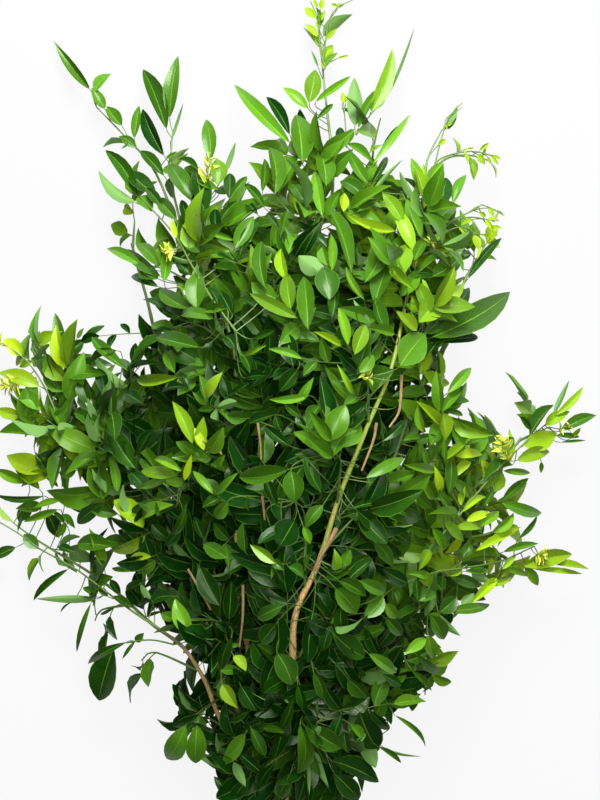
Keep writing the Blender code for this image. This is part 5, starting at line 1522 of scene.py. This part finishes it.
def grow_tuft(rng, x, y, turn, count, length, places):
    """Flower buds: a short stalk with narrow buds round it, the smallest at its end."""
    rows = new_rows()
    start = drawn_in(settled([x, y, crown(x, y) + TUFT_LIFT]))[0]
    stalk = bowed(nearest(places, start), start, start + pointing(turn, TUFT_RISE) * length * TUFT_STALK)
    rows["stalk"].append(stalk)
    for step in range(count):
        point, way = along(stalk, BUDS_FROM + (1 - BUDS_FROM) * step / count)
        heading = leaf_heading(way[0], step * GOLDEN_ANGLE, STEM_LEAN)
        size = length * (BUD_SIZE[0] - BUD_SIZE[1] * step / count) * rng.uniform(*BUD_SPREAD)
        facing = facing_at(point, rng, TUFT_UNEVEN)[0]
        young = rng.uniform(*BUD_AGES)
        end = point[0] + heading * size
        add_leaflet(rows, point[0], end, facing, young, rng, BUD_UNEVEN, size * BUD_WIDTH)
    return rows, rng


# ---------------------------------------------------------------- materials

def feed(tree, made, values):
    """Join a node's inputs to sockets, or set them to values."""
    for key, value in values.items():
        if isinstance(value, bpy.types.NodeSocket):
            tree.links.new(value, made.inputs[key])
        else:
            made.inputs[key].default_value = value


def node(tree, kind, values=None, **settings):
    """A node with its settings and its inputs."""
    made = tree.nodes.new(kind)
    for key, value in settings.items():
        setattr(made, key, value)
    feed(tree, made, values or {})
    return made


def maths(tree, operation, *values):
    """A Math node on sockets or numbers."""
    return node(tree, "ShaderNodeMath", dict(enumerate(values)), operation=operation).outputs[0]


def plus(tree, first, second):
    """The sum of two values."""
    return maths(tree, "ADD", first, second)


def minus(tree, first, second):
    """The first value less the second."""
    return maths(tree, "SUBTRACT", first, second)


def times(tree, first, second):
    """The product of two values."""
    return maths(tree, "MULTIPLY", first, second)


def ramp(tree, value, low, high):
    """A smooth 0 to 1 as value goes from low to high."""
    values = {"Value": value, "From Min": low, "From Max": high}
    return node(tree, "ShaderNodeMapRange", values, interpolation_type="SMOOTHSTEP").outputs["Result"]


def mixed(tree, share, first, second, blend="MIX"):
    """A colour between two, by a share."""
    values = {"Factor": share, "A": first, "B": second}
    return node(tree, "ShaderNodeMix", values, data_type="RGBA", blend_type=blend).outputs["Result"]


def noise(tree, scale, detail, roughness, place=None):
    """Noise on the object's own coordinates, or on the place given."""
    place = place or node(tree, "ShaderNodeTexCoord").outputs["Object"]
    values = {"Vector": place, "Scale": scale, "Detail": detail, "Roughness": roughness}
    return node(tree, "ShaderNodeTexNoise", values).outputs["Fac"]


def named(tree, attribute):
    """A piece's own attribute."""
    return node(tree, "ShaderNodeAttribute", attribute_name=attribute).outputs["Fac"]


def new_group(name, inputs, outputs):
    """An empty shader node group with named inputs and outputs."""
    group = bpy.data.node_groups.new(name, "ShaderNodeTree")
    for label, kind in inputs:
        group.interface.new_socket(name=label, in_out="INPUT", socket_type=kind)
    for label, kind in outputs:
        group.interface.new_socket(name=label, in_out="OUTPUT", socket_type=kind)
    return group, group.nodes.new("NodeGroupInput").outputs, group.nodes.new("NodeGroupOutput")


def leaf_group():
    """The leaf's surface: green by age and tone, a paler underside, a midrib with side veins, and a painted
    highlight along the rim.

    The blade's map runs 0 to 1 across the upper side and 2 to 3 across the underside, and 0 to 1 along.
    """
    colour, value = "NodeSocketColor", "NodeSocketFloat"
    tree, given, result = new_group(
        "leaf_tissue",
        [("Old", colour), ("Grown", colour), ("Young", colour), ("Under", colour), ("Rib", colour)],
        [("Color", colour), ("Roughness", value), ("Height", value)])
    blade = node(tree, "ShaderNodeUVMap", uv_map="blade").outputs[0]
    over, down, _ = node(tree, "ShaderNodeSeparateXYZ", {0: blade}).outputs
    under = maths(tree, "GREATER_THAN", over, UNDERSIDE)
    across = maths(tree, "ABSOLUTE", minus(tree, minus(tree, over, times(tree, under, 2.0)), 0.5))
    rib_width = minus(tree, RIB_WIDTH[0], times(tree, down, RIB_WIDTH[1]))
    rib = minus(tree, 1.0, ramp(tree, maths(tree, "DIVIDE", across, rib_width), *RIB_EDGE))
    slant = minus(tree, times(tree, down, VEINS), times(tree, across, VEIN_SLANT))
    wave = maths(tree, "ABSOLUTE", maths(tree, "SINE", times(tree, slant, math.pi)))
    vein = times(tree, minus(tree, 1.0, ramp(tree, wave, *VEIN_EDGE)), ramp(tree, across, *VEIN_FADE))
    # A paler rim along the edge, mixed towards the rib colour: a painted highlight.
    rim_highlight = ramp(tree, across, *RIM_HIGHLIGHT)
    # Old to grown to young by age: the dark old colour in the heart of the bunch is partly painted shade.
    age = named(tree, "young")
    young = ramp(tree, age, *YOUNG_AGES)
    grown = mixed(tree, ramp(tree, age, *GROWN_AGES), given["Old"], given["Grown"])
    mottle = noise(tree, *LEAF_MOTTLE)
    start, by_tone, by_mottle = LEAF_LIGHT
    toned = plus(tree, start, times(tree, named(tree, "tone"), by_tone))
    light = plus(tree, toned, times(tree, mottle, by_mottle))
    grey = node(tree, "ShaderNodeCombineColor", {0: light, 1: light, 2: light}).outputs[0]
    upper = mixed(tree, 1.0, mixed(tree, young, grown, given["Young"]), grey, "MULTIPLY")
    for pattern, shows in ((vein, VEINS_SHOW), (rib, RIB_SHOWS), (rim_highlight, RIM_HIGHLIGHT_SHOWS)):
        upper = mixed(tree, times(tree, pattern, shows), upper, given["Rib"])
    lower = mixed(tree, times(tree, young, UNDER_SHOWS), given["Under"], given["Young"])
    lower = mixed(tree, times(tree, rib, UNDER_SHOWS), lower, given["Rib"])
    start, by_side, by_mottle = LEAF_ROUGH
    rough = plus(tree, plus(tree, start, times(tree, under, by_side)), times(tree, mottle, by_mottle))
    by_mottle, by_rib, by_vein = LEAF_HEIGHT
    height = minus(tree, times(tree, mottle, by_mottle), times(tree, rib, by_rib))
    height = minus(tree, height, times(tree, vein, by_vein))
    feed(tree, result, {"Color": mixed(tree, under, upper, lower), "Roughness": rough, "Height": height})
    return tree


def new_material(name):
    """A material with its node tree and its Principled surface."""
    material = bpy.data.materials.new(name)
    material.use_nodes = True
    return material, material.node_tree, material.node_tree.nodes["Principled BSDF"]


def bumped(tree, shader, height, strength, distance):
    """A surface that rises and falls by a height."""
    bump = node(tree, "ShaderNodeBump", {"Strength": strength, "Distance": distance, "Height": height})
    feed(tree, shader, {"Normal": bump.outputs[0]})


def blended(tree, share, first, second):
    """A material's output as a blend of two shaders."""
    blend = node(tree, "ShaderNodeMixShader", {0: share, 1: first.outputs[0], 2: second.outputs[0]})
    feed(tree, tree.nodes["Material Output"], {0: blend.outputs[0]})


def leaf_material(name, group, glow, sheen, tint):
    """A leaf: the tissue group on a Principled surface, with some light passing through.

    A tint stands for the young colour and the underside's.
    """
    colours = bpy.context.scene.foliage_colours
    _, tree, shader = new_material(name)
    looks = {key.capitalize(): getattr(colours, key) for key in ("old", "grown", "young", "under", "rib")}
    if tint:
        looks.update(Young=tint, Under=tint)
    tissue = node(tree, "ShaderNodeGroup", node_tree=group)
    feed(tree, tissue, looks)
    feed(tree, shader, {
        "Base Color": tissue.outputs["Color"], "Roughness": tissue.outputs["Roughness"],
        "Specular IOR Level": sheen, "Specular Tint": SHEEN_TINT})
    bumped(tree, shader, tissue.outputs["Height"], *LEAF_BUMP)
    blended(tree, LIGHT_THROUGH, shader, node(tree, "ShaderNodeBsdfTranslucent", {"Color": glow}))


def bark_material(name, low, high, green_from, green_to):
    """Bark: the low colour with streaks at a stem's foot, and the high one at its tip, by its share."""
    colours = bpy.context.scene.foliage_colours
    _, tree, shader = new_material(name)
    place = node(tree, "ShaderNodeTexCoord").outputs["Object"]
    stretched = node(tree, "ShaderNodeMapping", {"Scale": BARK_STRETCH, "Vector": place}).outputs[0]
    streaks = noise(tree, *BARK_STREAKS, stretched)
    shifted = plus(tree, named(tree, "share"), times(tree, noise(tree, *BARK_PATCHES), PATCH_REACH))
    green = ramp(tree, shifted, green_from, green_to)
    base = mixed(tree, green, tuple(getattr(colours, low)), tuple(getattr(colours, high)))
    dark = mixed(tree, ramp(tree, streaks, *STREAK_EDGE), base, BARK_STREAK)
    shows = minus(tree, STREAK_SHOWS[0], times(tree, green, STREAK_SHOWS[1]))
    rough = minus(tree, BARK_ROUGH[0], times(tree, green, BARK_ROUGH[1]))
    feed(tree, shader, {"Base Color": mixed(tree, shows, base, dark), "Roughness": rough})
    bumped(tree, shader, streaks, *BARK_BUMP)


def band_material():
    """Natural rubber: tan, a little dusty, with fine grain."""
    _, tree, shader = new_material("band_surface")
    dust = noise(tree, *BAND_GRAIN)
    tan = tuple(bpy.context.scene.foliage_colours.band)
    dusty = mixed(tree, ramp(tree, dust, *DUST_EDGE), tan, BAND_DUST)
    rough = plus(tree, BAND_ROUGH[0], times(tree, dust, BAND_ROUGH[1]))
    feed(tree, shader, {"Base Color": dusty, "Roughness": rough})


def surface(name):
    """A material made by the materials operator, by what it covers."""
    return bpy.data.materials[name + "_surface"]


# ---------------------------------------------------------------- stage

def make_floor():
    """A large pale floor that shows nearly white to the camera and still takes the bunch's shadow."""
    size = FLOOR_SIZE
    corners = [(-size, -size, 0), (size, -size, 0), (size, size, 0), (-size, size, 0)]
    mesh = bpy.data.meshes.new("floor")
    mesh.from_pydata(corners, [], [(0, 1, 2, 3)])
    floor = bpy.data.objects.new("floor", mesh)
    bpy.context.scene.collection.objects.link(floor)
    floor.location = (0, 0, CAD_BOX[0][2] - FLOOR_DROP)
    material, tree, shader = new_material("floor")
    feed(tree, shader, {
        "Base Color": FLOOR_GREY, "Roughness": FLOOR_ROUGHNESS, "Specular IOR Level": FLOOR_SHEEN})
    white = node(tree, "ShaderNodeEmission", {"Color": FLOOR_WHITE})
    blended(tree, seen_by_camera(tree), shader, white)
    floor.data.materials.append(material)


def make_world(scene):
    """An even pale surrounding, nearly white to the camera."""
    world = bpy.data.worlds.new("studio")
    scene.world = world
    world.use_nodes = True
    tree = world.node_tree
    strength = plus(tree, seen_by_camera(tree), WORLD_LIGHT)
    feed(tree, tree.nodes["Background"], {"Color": WORLD_COLOUR, "Strength": strength})


def seen_by_camera(tree):
    """SHOWN_WHITE on the camera's own rays, and none on the others."""
    return times(tree, node(tree, "ShaderNodeLightPath").outputs["Is Camera Ray"], SHOWN_WHITE)


def add_lamp(name, place, target, size, power):
    """A soft square lamp aimed at a point."""
    lamp = bpy.data.lights.new(name, "AREA")
    lamp.size = size
    lamp.energy = power
    carrier = bpy.data.objects.new(name, lamp)
    bpy.context.scene.collection.objects.link(carrier)
    carrier.location = place
    carrier.rotation_euler = (Vector(target) - Vector(place)).to_track_quat("-Z", "Y").to_euler()


def add_camera(scene):
    """A long lens straight above the leaves, with the tips at the top and the band below the frame."""
    camera = bpy.data.cameras.new("camera")
    camera.sensor_width = SENSOR
    camera.lens = SENSOR * VIEW_DISTANCE / VIEW_TALL
    carrier = bpy.data.objects.new("camera", camera)
    scene.collection.objects.link(carrier)
    carrier.location = (STEP[0], STEP[1], (FOCUS_HEIGHT + VIEW_DISTANCE) * MM)
    scene.camera = carrier


# ---------------------------------------------------------------- operators

class FOLIAGE_OT_materials(bpy.types.Operator):
    """Make the leaf, bark and band materials"""

    bl_idname = "foliage.materials"
    bl_label = "Make Materials"

    def execute(self, context):
        group = leaf_group()
        for name, (glow, sheen, tint) in LEAF_LOOKS.items():
            leaf_material(name, group, glow, sheen, tint)
        for name, look in BARK_LOOKS.items():
            bark_material(name, *look)
        band_material()
        return {"FINISHED"}


class FOLIAGE_OT_stems(bpy.types.Operator):
    """Make the ten stems, each a round tube with swollen joints along its path"""

    bl_idname = "foliage.stems"
    bl_label = "Make Stems"

    def execute(self, context):
        sides = context.scene.foliage_sizes.stem_sides
        share = np.linspace(0, 1, STEM_STATIONS)
        for number, (name, (path, low, high)) in enumerate(stem_paths().items()):
            rng = draws("stem", number)
            line, _ = along(path, share)
            beat = np.cos(share * math.tau * (JOINTS + number % 3) + number)
            joints = np.clip(beat - JOINT_EDGE, 0, 1) / (1 - JOINT_EDGE)
            radius = (low + (high - low) * share) * (1 + JOINT_SWELL * joints * (share > JOINTS_FROM))
            turn_x, turn_z = (share * turns + number for turns in SWAY_TURNS)
            sway = np.stack([np.sin(turn_x), np.zeros(STEM_STATIONS), np.cos(turn_z)], axis=1)
            line = line + sway * (share > SWAY_FROM)[:, None] * SWAY
            radius = radius * (1 + UNEVEN * rng.uniform(-1, 1, STEM_STATIONS))
            radius = radius * np.interp(share, SLIM_SHARES, (1, STEM_SLIM.get(name, SLIM)))
            tubes = tubes_surface(line[None], radius[None], sides)
            stem = bark_piece(name + "_bark", tubes, STEM_BARKS.get(name, "bark"), (0, 1))
            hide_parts(name)
        return {"FINISHED"}


class FOLIAGE_OT_shoots(bpy.types.Operator):
    """Make every side shoot: its twig and stalks, and its leaflets"""

    bl_idname = "foliage.shoots"
    bl_label = "Make Shoots"

    def execute(self, context):
        for number, name in enumerate(SHOOTS):
            twig, radii, rows, rng = grow_shoot(number, name)
            slot = "young_leaf" if YOUNG.get(name, 0) > YOUNG_SLOT_ABOVE else "leaf"
            leaves = leaf_piece(name + "_leaves", rows, rng, slot)
            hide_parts(name)
            shoot_twig(name + "_twig", twig, radii, rows)
        return {"FINISHED"}


class FOLIAGE_OT_stem_leaves(bpy.types.Operator):
    """Make the leaves that grow straight from the stems and fill the heart of the bunch"""

    bl_idname = "foliage.stem_leaves"
    bl_label = "Make Stem Leaves"

    def execute(self, context):
        for number, name in enumerate(STEMS):
            # The stem leaves and low leaves inside the bunch take the darker old leaf look, which is partly
            # painted shade.
            add_growth(name + "_leaves", *grow_stem_leaves(number, name), "leaf", "old_leaf")
        add_growth("low_leaves", *grow_low_leaves(growth_places()), "leaf", "old_leaf")
        return {"FINISHED"}


class FOLIAGE_OT_single_leaflets(bpy.types.Operator):
    """Make the single leaflets on top of the bunch, the leaves between them and the tufts of flower buds"""

    bl_idname = "foliage.single_leaflets"
    bl_label = "Make Single Leaflets"

    def execute(self, context):
        twigs = [twig_path(points, TWIG_LIFT) for _, points in TWIGS.values()]
        places = np.vstack([growth_places(), *twigs])
        for number, (name, leaflets) in enumerate(SINGLE_LEAFLETS.items()):
            growth = grow_singles(draws("single", number), leaflets, places, FINE_RINGS)
            add_growth("leaflets_" + name, *growth, "leaf")
        for number, (name, leaflets) in enumerate(NEW_LEAFLETS.items()):
            growth = grow_singles(draws("new", number), leaflets, places, RINGS)
            add_growth("leaflets_" + name, *growth, "young_leaf")
        for number, (name, leaves) in enumerate(PLACED_LEAVES.items()):
            add_growth("leaves_" + name, *grow_placed(draws("placed", number), leaves, places), "leaf")
        for number, (name, tuft) in enumerate(TUFTS.items()):
            add_growth(name, *grow_tuft(draws("tuft", number), *tuft, places), "young_leaf", "bud")
        return {"FINISHED"}


class FOLIAGE_OT_twigs(bpy.types.Operator):
    """Make the bare twigs in front and the brown ones between the leaves, each a thin tube"""

    bl_idname = "foliage.twigs"
    bl_label = "Make Twigs"

    def execute(self, context):
        for name, (radius, points) in TWIGS.items():
            bare_twig(name, twig_path(points, TWIG_LIFT), radius, "twig", TWIG_SHARES)
        for name, (radius, points) in BROWN_TWIGS.items():
            bare_twig("twig_" + name, twig_path(points, -BROWN_DEPTH), radius, "brown_bark", BROWN_SHARES)
        return {"FINISHED"}


class FOLIAGE_OT_band(bpy.types.Operator):
    """Make the rubber band: a ring with a rounded, slightly uneven section"""

    bl_idname = "foliage.band"
    bl_label = "Make Band"

    def execute(self, context):
        place, corner = np.meshgrid(np.arange(BAND_PLACES), np.arange(BAND_CORNERS), indexing="ij")
        turn, angle = place / BAND_PLACES * math.tau, corner / BAND_CORNERS * math.tau
        wide, thick = (np.sign(way) * np.abs(way) ** BAND_SQUARE for way in (np.cos(angle), np.sin(angle)))
        radius = TIE_INNER + TIE_WALL / 2 + TIE_WALL / 2 * thick
        along_y = TIE_WIDTH / 2 * wide + BAND_WAVER * np.sin(3 * turn)
        points = np.stack([np.cos(turn) * radius, along_y, np.sin(turn) * radius], axis=2)
        next_place, next_corner = (place + 1) % BAND_PLACES, (corner + 1) % BAND_CORNERS
        faces = np.stack([row * BAND_CORNERS + column for row, column in (
            (place, corner), (place, next_corner), (next_place, next_corner), (next_place, corner))], axis=2)
        band = piece("band_ring", points.reshape(1, -1, 3) + TIE, [faces.reshape(-1, 4)])
        band.data.materials.append(surface("band"))
        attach(band, BODY)
        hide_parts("band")
        return {"FINISHED"}


class FOLIAGE_OT_stage(bpy.types.Operator):
    """Make the pale floor, the soft lights and the camera that looks down on the bunch"""

    bl_idname = "foliage.stage"
    bl_label = "Make Stage"

    def execute(self, context):
        scene = context.scene
        scene.view_settings.view_transform = "Standard"
        make_floor()
        make_world(scene)
        for lamp in LAMPS:
            add_lamp(*lamp)
        add_camera(scene)
        return {"FINISHED"}


class FOLIAGE_PT_panel(bpy.types.Panel):
    """Lists the steps that build the bunch"""

    bl_label = "Murraya Foliage"
    bl_idname = "FOLIAGE_PT_panel"
    bl_space_type = "VIEW_3D"
    bl_region_type = "UI"
    bl_category = "Foliage"

    def draw(self, context):
        column = self.layout.column()
        for group in (context.scene.foliage_sizes, context.scene.foliage_colours):
            for key in group.__annotations__:
                column.prop(group, key)
        for operator in STEPS:
            column.operator(operator.bl_idname)


STEPS = (FOLIAGE_OT_materials, FOLIAGE_OT_stems, FOLIAGE_OT_shoots, FOLIAGE_OT_stem_leaves,
         FOLIAGE_OT_single_leaflets, FOLIAGE_OT_twigs, FOLIAGE_OT_band, FOLIAGE_OT_stage)
CLASSES = (FoliageSizes, FoliageColours, *STEPS, FOLIAGE_PT_panel)


def register():
    """Register the classes and the scene's property groups."""
    for kind in CLASSES:
        bpy.utils.register_class(kind)
    bpy.types.Scene.foliage_sizes = PointerProperty(type=FoliageSizes)
    bpy.types.Scene.foliage_colours = PointerProperty(type=FoliageColours)


def unregister():
    """Remove the property groups and classes."""
    del bpy.types.Scene.foliage_sizes
    del bpy.types.Scene.foliage_colours
    for kind in reversed(CLASSES):
        bpy.utils.unregister_class(kind)


def main():
    """Build every piece and the stage."""
    register()
    for step in STEPS:
        area, name = step.bl_idname.split(".")
        if getattr(getattr(bpy.ops, area), name)() != {"FINISHED"}:
            raise RuntimeError(step.bl_label + " did not finish")
    bpy.context.view_layer.update()


if __name__ == "__main__":
    main()
